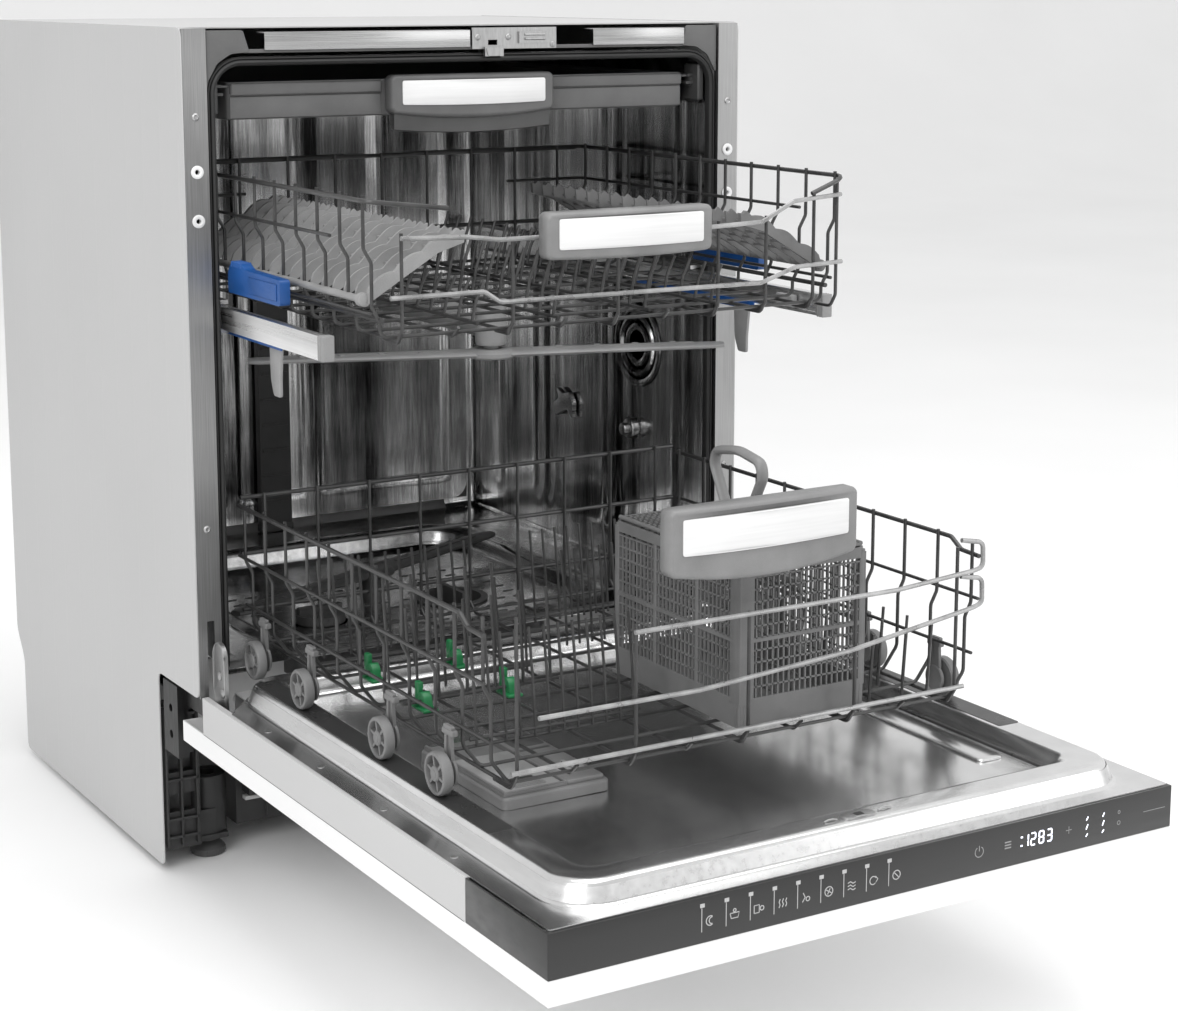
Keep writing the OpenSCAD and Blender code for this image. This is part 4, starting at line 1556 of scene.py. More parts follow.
    def gasket(self) -> None:
        """The rubber seal round three sides of the opening."""
        half, r = self.width / 2, self.corner
        path: list[tuple[Flat, Flat]] = [((-half, 231.0), (-1.0, 0.0)), ((-half, 500.0), (-1.0, 0.0))]
        for cx, start in ((-half + r, 180.0), (half - r, 90.0)):
            for i in range(13):
                a = math.radians(start - 90 * i / 12)
                path.append(
                    ((cx + r * math.cos(a), self.high - r + r * math.sin(a)), (math.cos(a), math.sin(a)))
                )
        path += [((half, 500.0), (1.0, 0.0)), ((half, 231.0), (1.0, 0.0))]
        section = [
            (-2.9, 9.4), (-2.9, 6.0), (-1.8, 3.2), (0.2, 2.1), (2.0, 3.2), (2.6, 5.0), (3.4, 3.6),
            (4.6, 3.6), (5.1, 5.0), (5.1, 9.4),
        ]
        rings = [[(x + nx * d, y, z + nz * d) for d, y in section] for (x, z), (nx, nz) in path]
        Shape().loft(rings).piece("door_gasket", RUBBER, "cabinet", "rubber_black", ["gasket"])

    def wall_fittings(self) -> None:
        """The vent, the cast bracket and the nozzle on the right wall, and the tray brackets."""
        shape = Shape()
        x = self.width / 2
        for radius, out in ((46.0, 0.6), (35.0, 1.6), (24.0, 0.8)):
            shape.lathe(
                [
                    (radius, -0.2), (radius, out * 0.4), (radius - 2.0, out + 1.0),
                    (radius - 5.0, out + 1.2), (radius - 8.0, 0.2), (radius - 8.0, -0.2),
                ],
                (x - 1.0, 139.0, 474.0),
                Plane.YZ,
                48,
            )
        shape.bend(lambda p: Vector((2 * (x - 1.0) - p.x, p.y, p.z)) if p.x > x - 1.0 else p)
        crease = [(139.0, 430.0), (143.0, 360.0), (139.0, 300.0), (135.0, 360.0)]
        shape.prism(crease, x - 2.0, x - 0.2, Plane.YZ)
        shape.piece("vent_emboss", TUB_STEEL, "cabinet", "bright_steel")
        shape = Shape()
        bow = [
            (270.0, 372.0), (282.0, 382.0), (296.0, 376.0), (308.0, 370.0), (312.0, 384.0), (300.0, 392.0),
            (304.0, 404.0), (290.0, 398.0), (276.0, 402.0), (268.0, 390.0),
        ]
        shape.prism(smooth_line(bow, 3.0), x - 6.0, x - 0.2, Plane.YZ)
        shape.lathe([(9.0, -10.0), (11.0, -8.5), (11.0, 0.0)], (x - 0.2, 145.0, 382.0), Plane.YZ)
        shape.lathe([(5.0, -17.0), (6.5, -16.0), (6.5, -9.0)], (x - 0.2, 145.0, 382.0), Plane.YZ)
        shape.piece("wall_castings", CHANNEL, "cabinet", "bright_steel", round_off=0.8)
        shape = Shape()
        for s in (-1, 1):
            low, high = sorted((s * 259.0, s * 266.0))
            shape.block((low, 13.0, 742.0), (high, 40.0, 778.0), 1.5)
            shape.lathe([(5.0, 0.0), (7.0, 1.0), (7.0, 4.0)], (s * 258.0 - 2.0, 30.0, 762.0), Plane.YZ, 20)
        shape.piece("tray_stops", DARK_GREY, "cabinet", "plastic_dark")
        shape = Shape()
        for i in range(9):
            z = 262.0 + i * 30.0
            shape.block((-16.0, 501.6, z), (16.0, 503.4, z + 3.0), 0.6)
        shape.block((-20.5, 502.0, 226.6), (20.5, 514.5, 236.0), 1.4)
        shape.piece("duct_ribs", DARK_GREY, "cabinet", "plastic_dark")

    def filter_mesh(self) -> None:
        """Dark plates on the filter plate, round the cup and the salt cap, that paint the shade inside its
        fine slots.
        """
        shape = Shape()
        spots = []
        for i in range(13):
            for j in range(9):
                u, v = -138.0 + i * 23.0, 128.0 + j * 23.0
                clear = math.hypot(u - 70, v - 200) > 48 and math.hypot(u + 90, v - 190) > 42
                if clear and math.hypot(u, v - 250) > 26:
                    spots.append((u, v, 205.5))
        scattered(shape, Shape().prism(rounded(13.0, 3.0, 1.4, 2), 0.0, 0.5), spots)
        shape.piece("filter_slots", DARK_GREY, "cabinet", "plastic_dark")


@dataclass
class SprayArm:
    """A moulded spray arm: a domed blade with nozzles and a hub."""

    name: str
    body: str
    node: str
    reach: float
    turn: float
    centre: Point
    finish: Finish
    slot: str

    def build(self) -> None:
        """Makes the blade, its nozzles and its hub."""
        shape = Shape()
        stations = [i / 20 for i in range(-20, 21)]
        rings = []
        for t in stations:
            along = t * self.reach
            wide = 18.5 - 7.5 * abs(t) if abs(t) < 0.97 else 6.5
            tall = 3.4 - 0.6 * abs(t)
            ring = []
            for i in range(14):
                a = 2 * math.pi * i / 14
                lift = math.copysign(abs(math.sin(a)) ** 0.7, math.sin(a)) * tall
                ring.append((along, wide * math.cos(a), lift + 3.5))
            rings.append(ring)
        shape.loft(rings)
        shape.lathe(
            [(9.0, -0.2), (22.0, -0.2), (24.0, 1.5), (24.0, 5.0), (20.0, 7.6), (9.0, 8.4)],
            (0, 0, 0),
            steps=36,
        )
        for s in (-1, 1):
            for i in range(1, 5):
                shape.lathe(
                    [(1.2, 5.4), (3.6, 5.4), (3.2, 7.6), (1.6, 7.7), (1.2, 6.6)],
                    (s * (30 + i * 38), s * 4.0, 0.0),
                    steps=14,
                )
            shape.prism(
                smooth_line(
                    [
                        (s * 40, -3.0), (s * (self.reach - 30), -1.6), (s * (self.reach - 30), 1.6),
                        (s * 40, 3.0),
                    ],
                    1.0,
                ),
                6.2,
                7.4,
            )
        turn = Matrix.Rotation(math.radians(self.turn), 3, "Z")
        shape.bend(lambda p: turn @ p + Vector(self.centre))
        shape.piece(self.name, self.finish, self.body, self.slot, [self.node])


@dataclass
class Door:
    """The lowered door: shell, outer sheet, pan, tracks, hinge plates and striker slot."""

    half: float = 297.0
    end: float = -640.0
    flange: float = 208.4
    rim: float = 226.0

    def build(self) -> None:
        """Makes the door's pieces."""
        dress(SHEET_PALE, "door_shell")
        dress(SHEET_WHITE, "door_outer")
        dress(BRACKET, "hinge_plates")
        self.pan()
        self.tracks()
        self.hinge_details()
        self.edge_seams()

    def pan(self) -> None:
        """The pressed inner pan with its sloping outer wall, rounded rim and deep field."""
        middle = self.end / 2
        w, d = 524.0, -self.end - 56.0
        rings = []
        flange = shifted(rounded(589.0, 572.0, 2.0, 8), 0.0, -351.5)
        rings.append(level(flange, 207.3))
        rings.append(level(flange, self.flange))
        for grow, z in (
            (13.0, 208.5), (10.5, 209.2), (8.5, 211.5), (5.0, 219.5), (3.2, 223.2), (1.0, 225.3),
            (-2.0, 226.0), (-20.0, 226.0), (-23.5, 225.4), (-26.0, 223.0), (-28.5, 214.0), (-30.5, 210.2),
            (-35.0, 208.8), (-60.0, 208.6), (-140.0, 208.3),
        ):
            r = 30.0 + grow if grow > -24 else 22.0
            ring = shifted(rounded(w + 2 * grow, d + 2 * grow, max(r, 18.0), 8), 0.0, middle)
            rings.append(level(ring, z))
        shape = Shape().loft(rings, caps=(False, True))
        shape.piece("door_pan_pressing", PAN_STEEL, "door", "bright_steel", ["door_pan"], smooth=50.0)
        rings = []
        for grow, z in ((9.2, 211.0), (5.6, 219.4), (4.4, 222.0)):
            ring = shifted(rounded(w + 2 * grow, d + 2 * grow, 30.0 + grow, 8), 0.0, middle)
            rings.append(level(ring, z))
        Shape().loft(rings, closed=True, caps=(False, False)).piece(
            "pan_side_band", RIM_STEEL, "door", "bright_steel", thick=0.25
        )
        striker = Shape()
        y = self.end + 27.0
        striker.prism(shifted(rounded(30.0, 12.0, 4.0), 0.0, y + 9.0), 225.6, 227.4, Plane.XY, 0.5)
        striker.block((-5.5, y + 3.0, 226.0), (5.5, y + 13.0, 227.9), 0.6)
        for x in (-26.0, 26.0):
            striker.tube(
                [
                    (x - 6.0, y + 9.0, 226.4), (x - 2.0, y + 9.0, 227.4), (x + 2.0, y + 9.0, 227.4),
                    (x + 6.0, y + 9.0, 226.4),
                ],
                0.9,
            )
        striker.piece("striker_frame", BRACKET, "door", "bright_steel")
        # Painted shade: a thin black plate on the striker stands in for the shade inside its slot.
        Shape().prism(
            shifted(rounded(8.0, 6.0, 1.0), 0.0, y + 8.0), 227.6, 228.05
        ).piece("striker_slot", BLACK, "door", "plastic_black")

    def tracks(self) -> None:
        """The dark running strips of the wheels on the rim, and the stepped ledge in the field."""
        shape = Shape()
        for s in (-1, 1):
            strip = shifted(rounded(22.0, 448.0, 3.0, 3), s * 251.5, -268.0)
            shape.prism(strip, 225.7, 226.18)
            shape.block(
                (min(s * 229.0, s * 232.5), -560.0, 208.5), (max(s * 229.0, s * 232.5), -120.0, 211.4), 1.0
            )
        shape.piece("wheel_tracks", TRACK, "door", "plastic_dark")
        shape = Shape()
        ledge = smooth_line(
            [(196.0, -520.0), (222.0, -520.0), (222.0, -300.0), (205.0, -300.0), (196.0, -330.0)], 8.0
        )
        shape.prism(ledge, 208.6, 211.0)
        shape.piece("pan_ledge", PAN_STEEL, "door", "bright_steel", round_off=1.0)

    def hinge_details(self) -> None:
        """Pivot rivets and the pressed edge of the hinge plates."""
        rivet = Shape().lathe(
            [(0.5, -0.4), (4.6, -0.4), (4.6, 0.5), (3.4, 1.3), (0.5, 1.6)], (0, 0, 0), steps=20
        )
        shape = Shape()
        scattered(
            shape,
            rivet,
            [(-285.2, -17.0, 230.0), (-285.2, -24.0, 215.0), (-285.2, -60.0, 180.0)],
            (0.0, -90.0, 0.0),
        )
        shape.mirrored()
        arc = [
            (-17.0 + 13.0 * math.cos(a), 247.7 + 13.0 * math.sin(a))
            for a in [math.pi * i / 14 for i in range(15)]
        ]
        line = [(-285.4, u, v) for u, v in [(-4.0, 215.0), *arc, (-30.0, 215.0)]]
        shape.tube(line, 0.8, 6)
        shape.tube([(-x, y, z) for x, y, z in line], 0.8, 6)
        shape.piece("hinge_rivets", BRACKET, "door", "bright_steel")

    def edge_seams(self) -> None:
        """Dark shadow gaps between the door's sheets, and small side screws."""
        shape = Shape()
        for s in (-1, 1):
            low, high = sorted((s * 296.2, s * 297.2))
            shape.block((low, -515.0, 171.6), (high, -4.0, 172.1), 0.1)
        shape.piece("side_gaps", TRACK, "door", "plastic_dark")
        screw = Shape().lathe(
            [(0.5, -0.4), (3.2, -0.4), (3.0, 0.5), (1.6, 0.7), (0.5, 0.3)], (0, 0, 0), steps=16
        )
        shape = Shape()
        spots = [(s * 286.0, y, 208.4) for s in (-1, 1) for y in (-480.0, -360.0, -240.0, -130.0)]
        scattered(shape, screw, spots)
        shape.piece("flange_screws", BRACKET, "door", "bright_steel")


@dataclass
class ControlPanel:
    """The dark control panel at the far edge of the door and its marks."""

    half: float = 297.4
    face: float = -640.4
    low: float = 172.0
    high: float = 207.0
    depth: float = 122.0

    def build(self) -> None:
        """Makes the panel and its marks."""
        self.body()
        self.programmes()
        self.display()

    def body(self) -> None:
        """A hollow moulding with softly rounded edges."""
        h = self.half
        back = self.face + self.depth
        outer = smooth_line(
            [
                (-h, self.face), (h, self.face), (h, back), (h - 1.9, back), (h - 1.9, self.face + 9.0),
                (-h + 1.9, self.face + 9.0), (-h + 1.9, back), (-h, back),
            ],
            1.0,
            2,
        )
        Shape().prism(outer, self.low, self.high).piece(
            "panel_moulding", PANEL, "door", "panel_black", ["fascia"], round_off=0.35
        )
        Shape().prism(
            [
                (-h + 3.0, self.face + 7.0), (h - 3.0, self.face + 7.0), (h - 3.0, self.face + 36.0),
                (-h + 3.0, self.face + 36.0),
            ],
            205.0,
            207.15,
        ).piece("panel_top_edge", RIM_STEEL, "door", "bright_steel")

    def mark(self, shape: Shape, points: Sequence[Flat], width: float = 0.75, closed: bool = False) -> None:
        """Prints a line on the front face.

        Args:
            shape: the shape that takes it.
            points: its points, across and up.
            width: line width.
            closed: whether it is a closed line.
        """
        half = width / 2
        section = [(-half, 0.0), (half, 0.0), (half, 0.14), (-half, 0.14)]
        line = [(u, self.face - 0.02, v) for u, v in points]
        shape.sweep(line, section, (0.0, -1.0, 0.0), closed)

    def arc(
        self, u: float, v: float, r: float, start: float = 0.0, stop: float = 360.0, parts: int = 14
    ) -> list[Flat]:
        """Points of an arc.

        Args:
            u: middle across.
            v: middle up.
            r: radius.
            start: first angle in degrees.
            stop: last angle.
            parts: steps.

        Returns:
            The points.
        """
        return [
            (
                u + r * math.cos(math.radians(start + (stop - start) * i / parts)),
                v + r * math.sin(math.radians(start + (stop - start) * i / parts)),
            )
            for i in range(parts + 1)
        ]

    def programmes(self) -> None:
        """Nine programme marks, each with an upright line and a small flag, in generic shapes."""
        shape = Shape()
        z = 188.0
        flags = Shape()
        for i in range(9):
            x = -161.0 + i * 21.4
            self.mark(shape, [(x - 7.5, 180.5), (x - 7.5, 199.0)], 0.6)
            flags.prism(
                [(x - 9.0, 199.2), (x - 5.0, 199.2), (x - 5.0, 202.2), (x - 9.0, 202.2)],
                self.face - 0.12,
                self.face + 0.1,
                Plane.XZ,
            )
            self.icon(shape, i, x, z)
        shape.piece("programme_marks", PRINT, "door", "panel_black")
        flags.piece("programme_flags", PRINT, "door", "panel_black")

    def icon(self, shape: Shape, number: int, x: float, z: float) -> None:
        """One programme mark made of plain lines.

        Args:
            shape: the shape that takes it.
            number: which of the nine.
            x: its middle across.
            z: its middle up.
        """
        if number == 0:
            self.mark(shape, self.arc(x, z, 3.6, 60, 300))
            self.mark(shape, self.arc(x + 1.6, z, 2.6, 85, 275))
        elif number == 1:
            self.mark(
                shape,
                [(x - 4, z + 1.5), (x - 3, z - 2.5), (x + 3, z - 2.5), (x + 4, z + 1.5), (x - 4, z + 1.5)],
            )
            self.mark(shape, self.arc(x, z + 3.4, 1.2))
        elif number == 2:
            self.mark(
                shape, [(x - 4, z - 3), (x - 4, z + 3), (x + 0.5, z + 3), (x + 0.5, z - 3), (x - 4, z - 3)]
            )
            self.mark(shape, self.arc(x + 3, z, 1.7))
        elif number == 3:
            for k in (-3.0, 0.0, 3.0):
                self.mark(
                    shape, [(x + k, z - 3.4), (x + k + 1, z - 1.2), (x + k, z + 1.0), (x + k + 1, z + 3.2)]
                )
        elif number == 4:
            self.mark(shape, [(x - 2.4, z + 3.6), (x - 0.5, z), (x - 3.0, z - 3.6)])
            self.mark(shape, self.arc(x + 2, z - 1.6, 1.7))
        elif number == 5:
            self.mark(shape, self.arc(x, z, 3.7))
            self.mark(shape, [(x - 2.4, z + 1.5), (x + 2.4, z - 1.5)])
            self.mark(shape, [(x - 1.2, z - 2.2), (x + 1.2, z + 2.2)])
        elif number == 6:
            for k in (-2.6, 0.0, 2.6):
                self.mark(
                    shape,
                    [(x - 3.6, z + k), (x - 1.2, z + k + 0.9), (x + 1.2, z + k - 0.9), (x + 3.6, z + k)],
                )
        elif number == 7:
            self.mark(shape, self.arc(x - 1, z, 3.2, 30, 330))
            self.mark(shape, [(x + 1.0, z + 3.2), (x + 3.4, z + 0.6), (x + 1.0, z - 2.6)])
        else:
            self.mark(shape, self.arc(x, z, 3.6))
            self.mark(shape, [(x - 2.5, z + 2.5), (x + 2.5, z - 2.5)])

    def display(self) -> None:
        """The lit digits, the power ring and the small setting marks."""
        dim = Shape()
        self.mark(dim, self.arc(92.0, 190.0, 4.2, 120, 420), 0.7)
        self.mark(dim, [(92.0, 190.5), (92.0, 195.0)], 0.7)
        for k in (-2.4, 0.0, 2.4):
            self.mark(dim, [(118.0, 190.0 + k), (124.5, 190.0 + k)], 1.1)
        self.mark(dim, [(182.0, 190.0), (188.0, 190.0)], 0.6)
        self.mark(dim, [(185.0, 187.0), (185.0, 193.0)], 0.6)
        self.mark(dim, self.arc(239.0, 195.0, 1.2), 0.6)
        self.mark(dim, self.arc(239.0, 186.0, 1.6), 0.6)
        self.mark(dim, [(266.0, 190.0), (290.0, 190.0)], 0.5)
        dim.piece("setting_marks", PRINT_DIM, "door", "panel_black")
        lit = Shape()
        for x, bars in ((140.0, "ab"), (147.5, "acdfg"), (156.0, "abcdefg"), (164.5, "abcdg")):
            self.digit(lit, x, 190.0, bars)
        for z in (186.5, 193.5):
            self.mark(lit, [(134.5, z), (136.5, z)], 1.2)
        for x in (204.5, 222.0):
            for z, tall in ((196.0, 3.0), (189.0, 4.2), (182.0, 2.4)):
                self.mark(lit, [(x - 0.9, z - tall / 2), (x + 0.9, z + tall / 2)], 0.9)
        lit.piece("lit_marks", LIT, "door", "panel_black")

    def digit(self, shape: Shape, x: float, z: float, bars: str) -> None:
        """One seven-bar digit of a timer.

        Args:
            shape: the shape that takes it.
            x: its middle across.
            z: its middle up.
            bars: which bars are lit, lettered a to g.
        """
        w, h = 2.3, 4.9
        spots = {
            "a": ((x + w, z + 0.4), (x + w, z + h - 0.3)),
            "b": ((x + w, z - h + 0.3), (x + w, z - 0.4)),
            "c": ((x - w + 0.4, z + h), (x + w - 0.4, z + h)),
            "d": ((x - w + 0.4, z), (x + w - 0.4, z)),
            "e": ((x - w, z + 0.4), (x - w, z + h - 0.3)),
            "f": ((x - w, z - h + 0.3), (x - w, z - 0.4)),
            "g": ((x - w + 0.4, z - h), (x + w - 0.4, z - h)),
        }
        for bar in bars:
            self.mark(shape, spots[bar], 1.15)


@dataclass
class Dispenser:
    """The detergent and rinse-aid dispenser in the door."""

    x: float = -157.0
    y: float = -341.0
    z: float = 208.8

    def build(self) -> None:
        """Makes the case, the sliding lid, the rinse-aid cap and their details."""
        x, y, z = self.x, self.y, self.z
        case = Shape()
        outer = shifted(rounded(100.0, 148.0, 6.0), x, y)
        inset = shifted(rounded(97.0, 145.0, 5.0), x, y)
        seat = shifted(rounded(94.0, 142.0, 4.0), x, y)
        case.loft(
            [
                level(outer, z - 0.1),
                level(outer, z + 8.0),
                level(inset, z + 9.6),
                level(seat, z + 9.8),
            ]
        )
        case.block((x + 11.0, y - 70.0, z + 9.0), (x + 46.0, y + 70.0, z + 13.6), 1.2)
        case.block((x - 46.5, y - 70.0, z + 9.0), (x + 9.5, y - 67.0, z + 13.6), 0.8)
        case.block((x - 47.5, y - 70.0, z + 9.0), (x - 44.6, y + 70.0, z + 13.6), 0.8)
        case.block((x + 8.4, y - 70.0, z + 9.0), (x + 11.5, y + 70.0, z + 14.0), 0.8)
        case.piece("dispenser_case", MID_GREY, "door", "plastic_grey", ["dispenser"], round_off=0.5)
        lid = Shape()
        lid.block((x - 43.8, y - 65.8, z + 10.0), (x + 7.8, y + 24.0, z + 12.6), 1.0)
        lid.block((x - 36.0, y - 36.0, z + 12.4), (x + 0.0, y + 16.0, z + 13.2), 0.8)
        for i in range(4):
            lid.block((x - 32.0, y - 62.0 + i * 3.0, z + 12.4), (x - 4.0, y - 60.6 + i * 3.0, z + 13.3), 0.4)
        lid.piece(
            "powder_lid_plate", PALE_GREY, "powder_lid", "plastic_grey", ["dispenser_lid"], round_off=0.4
        )
        dark = Shape()
        dark.block((x - 30.0, y - 48.0, z + 12.3), (x - 6.0, y - 40.0, z + 12.9), 0.3)
        dark.piece("powder_lid_grip", TRACK, "powder_lid", "plastic_dark")
        # Painted shade: a flat dark strip and pad on top of the case stand in for the shade in its groove and
        # recess.
        dark = Shape()
        dark.block((x + 14.0, y + 12.0, z + 13.2), (x + 43.0, y + 16.0, z + 13.9), 0.3)
        dark.prism(shifted(rounded(30.0, 44.0, 4.0), x + 29.0, y + 44.0), z + 13.3, z + 13.9, Plane.XY, 0.3)
        dark.piece("dispenser_recess", DARK_GREY, "door", "plastic_dark")
        cap = Shape().lathe(
            [(1.0, 14.4), (9.0, 14.6), (12.4, 14.0), (13.4, 12.8), (13.4, 7.0), (10.0, 6.6)],
            (x + 30.0, y - 40.0, z),
            steps=40,
        )
        cap.block((x + 28.2, y - 51.0, z + 14.0), (x + 31.8, y - 29.0, z + 16.2), 0.8)
        for i in range(18):
            a = 2 * math.pi * i / 18
            cap.tube(
                [
                    (x + 30.0 + 13.2 * math.cos(a), y - 40.0 + 13.2 * math.sin(a), z + h)
                    for h in (8.0, 12.6)
                ],
                0.6,
                6,
            )
        cap.piece("rinse_cap_knob", PALE_GREY, "rinse_cap", "plastic_grey", ["rinse_flap"])


@dataclass
class Handle:
    """A bowed basket handle with a silver label in a moulded frame."""

    name: str
    body: str
    node: str
    width: float
    height: float
    middle_z: float
    back: float
    bow: float
    droop: float
    slot: str = "plastic_grey"
    finish: Finish = HANDLE_GREY
    depth: float = 16.0

    def bend(self, p: Vector) -> Vector:
        """Bows the front forward in the middle and lets the lower edge droop."""
        t = 1.0 - min(1.0, abs(2.0 * p.x / self.width)) ** 2
        under = max(0.0, (self.middle_z - p.z) / (self.height / 2))
        ahead = (self.back - p.y) / self.depth
        return Vector((p.x, p.y - self.bow * t * ahead, p.z - self.droop * t * under))

    def build(self) -> None:
        """Makes the frame and its label."""
        w, h, y, d = self.width, self.height, self.back, self.depth

        def ring(grow: float, at: float) -> list[Point]:
            """A ring of the frame's outline."""
            corner = max(6.0 + grow, 1.2)
            flat = shifted(rounded(w + 2 * grow, h + 2 * grow, corner, 8), 0.0, self.middle_z)
            return [Plane.XZ.lift(uv, at) for uv in spaced(flat, w)]

        shape = Shape().loft(
            [
                ring(-4.0, y - d + 6.0), ring(-4.0, y), ring(-1.0, y), ring(0.0, y - 1.0),
                ring(0.0, y - d + 3.6), ring(-0.8, y - d + 1.4), ring(-2.6, y - d), ring(-3.6, y - d),
            ]
        )
        shape.bend(self.bend)
        shape.piece(self.name, self.finish, self.body, self.slot, [self.node], smooth=45.0)
        label_w = w - 22.0
        label_h = h - 25.0 if h > 42.0 else h - 14.0
        lift = 4.5 if h > 50 else 1.5
        plate = []
        for grow, at in ((0.0, y - d + 1.0), (0.0, y - d - 0.7), (-0.8, y - d - 1.1)):
            flat = shifted(rounded(label_w + 2 * grow, label_h + 2 * grow, 2.0, 3), 0.0, self.middle_z + lift)
            plate.append([Plane.XZ.lift(uv, at) for uv in spaced(flat, w)])
        label = Shape().loft(plate)

        def fit(p: Vector) -> Vector:
            """The frame's bend, with the label's lower edge held a little higher."""
            middle = 1 - min(1.0, abs(2 * p.x / w)) ** 2
            rise = self.droop * 0.25 * middle if p.z < self.middle_z else 0.0
            return self.bend(p) + Vector((0.0, 0.0, rise))

        label.bend(fit)
        label.piece(f"{self.name}_label", LABEL, self.body, "plastic_grey")


@dataclass
class LowerBasket:
    """The lower wire basket on its wheels."""

    half: float = 245.0
    front: float = -459.0
    back: float = 29.0
    floor: float = 242.0
    rim: float = 378.0
    thick: float = 2.1
    thin: float = 1.6
    cross: int = 11
    wheel_y: tuple[float, ...] = (-397.0, -294.0, -136.0, -32.0)

    def build(self) -> None:
        """Makes the wires, tines, clips, wheels and the handle."""
        self.grid()
        self.rims()
        self.ends()
        self.tines()
        self.clips()
        self.carriers()
        for letter, y in zip("abcd", self.wheel_y):
            self.wheels(letter, y)
        Handle("lower_handle_frame", "low_basket", "low_handle", 184.0, 54.0, 425.0, -463.0, 4.0, 9.0).build()

    def grid(self) -> None:
        """Cross wires that run down one side, under the floor and up the other, with a jog."""
        shape = Shape()
        x, z = self.half - 2.8, self.floor + 2.8
        step = (self.back - self.front - 24.0) / (self.cross - 1)
        run = [
            (-x, 0.0, self.rim + 4.0),
            (-x, 0.0, self.rim - 52.0),
            (-x + 6.5, 0.0, self.rim - 64.0),
            (-x + 6.5, 0.0, z + 20.0),
            (-x + 22.0, 0.0, z),
            (x - 22.0, 0.0, z),
            (x - 6.5, 0.0, z + 20.0),
            (x - 6.5, 0.0, self.rim - 64.0),
            (x, 0.0, self.rim - 52.0),
            (x, 0.0, self.rim + 4.0),
        ]
        run = [(a, self.front + 12.0, c) for a, b, c in run]
        bent(shape, [run], self.thin, 9.0, self.cross, (0.0, step, 0.0))
        long = [
            [
                (u, self.front + 3.0, self.floor + 10.0), (u, self.front + 14.0, self.floor),
                (u, self.back - 14.0, self.floor), (u, self.back - 3.0, self.floor + 10.0),
            ]
            for u in (-218.0,)
        ]
        bent(shape, long, self.thin, 8.0, 9, (54.5, 0.0, 0.0))
        shape.piece("low_cross_wires", WIRE, "low_basket", "wire_coat", ["low_floor_grid"])

    def rims(self) -> None:
        """The level wires of both sides and the thick rim, dipping at the front corners."""
        shape = Shape()
        runs = []
        for s in (-1, 1):
            x = s * self.half
            runs.append(
                [
                    (x, self.back - 4.0, self.rim), (x, self.front + 44.0, self.rim),
                    (x, self.front + 30.0, self.rim - 9.0), (x, self.front + 6.0, self.rim - 10.0),
                ]
            )
        bent(shape, runs, self.thick, 7.0)
        runs = []
        for s in (-1, 1):
            for z, inward in ((self.rim - 48.0, 0.0), (self.rim - 96.0, 6.0)):
                x = s * (self.half - inward)
                runs.append([(x, self.back - 4.0, z), (x, self.front + 6.0, z)])
        bent(shape, runs, self.thin, 7.0)
        shape.piece("low_side_wires", WIRE, "low_basket", "wire_coat", ["low_sides"])

    def ends(self) -> None:
        """Bright front wires with hooked ends, and the darker ones at the back."""
        h, y = self.half, self.front - 0.5
        front = Shape()
        runs = []
        for start, bends, z in (
            (-112.0, [(150.0, 352.0), (h - 12.0, 358.0)], 360.0),
            (-200.0, [(-50.0, 296.0), (100.0, 306.0), (h - 12.0, 325.0)], 328.0),
        ):
            run = [(start, y, bends[0][1] + 1.0)] + [(u, y, v) for u, v in bends]
            runs.append(run + [(h - 1.0, y, z), (h - 1.0, y + 1.0, z + 22.0), (h - 24.0, y + 2.0, z + 26.0)])
        runs.append([(-h + 20.0, y, self.floor + 14.0), (h - 20.0, y, self.floor + 14.0)])
        bent(front, runs, self.thick, 6.0)
        posts = [
            [
                (x, y + 3.3, top), (x, y + 3.3, self.floor + 10.0), (x, y + 12.0, self.floor - 2.2),
                (x, y + 40.0, self.floor - 2.2),
            ]
            for x, top in (
                (-218.0, self.rim + 2.0), (-109.0, self.rim - 24.0), (0.0, self.rim - 24.0),
                (109.0, self.rim - 24.0), (218.0, self.rim + 2.0),
            )
        ]
        front.piece("low_front_wires", FRONT_WIRE, "low_basket", "wire_coat", ["low_ends"])
        dark = Shape()
        bent(dark, posts, self.thin, 8.0)
        back_y = self.back + 0.5
        bent(
            dark,
            [
                [(-h + 4.0, back_y, z), (h - 4.0, back_y, z)]
                for z in (self.rim + 6.0, self.rim - 48.0, self.rim - 102.0)
            ],
            self.thick,
            6.0,
        )
        bent(
            dark,
            [[(-218.0, back_y - 3.3, self.rim + 9.0), (-218.0, back_y - 3.3, self.floor + 4.0)]],
            self.thin,
            6.0,
            9,
            (54.5, 0.0, 0.0),
        )
        dark.piece("low_end_wires", WIRE, "low_basket", "wire_coat")

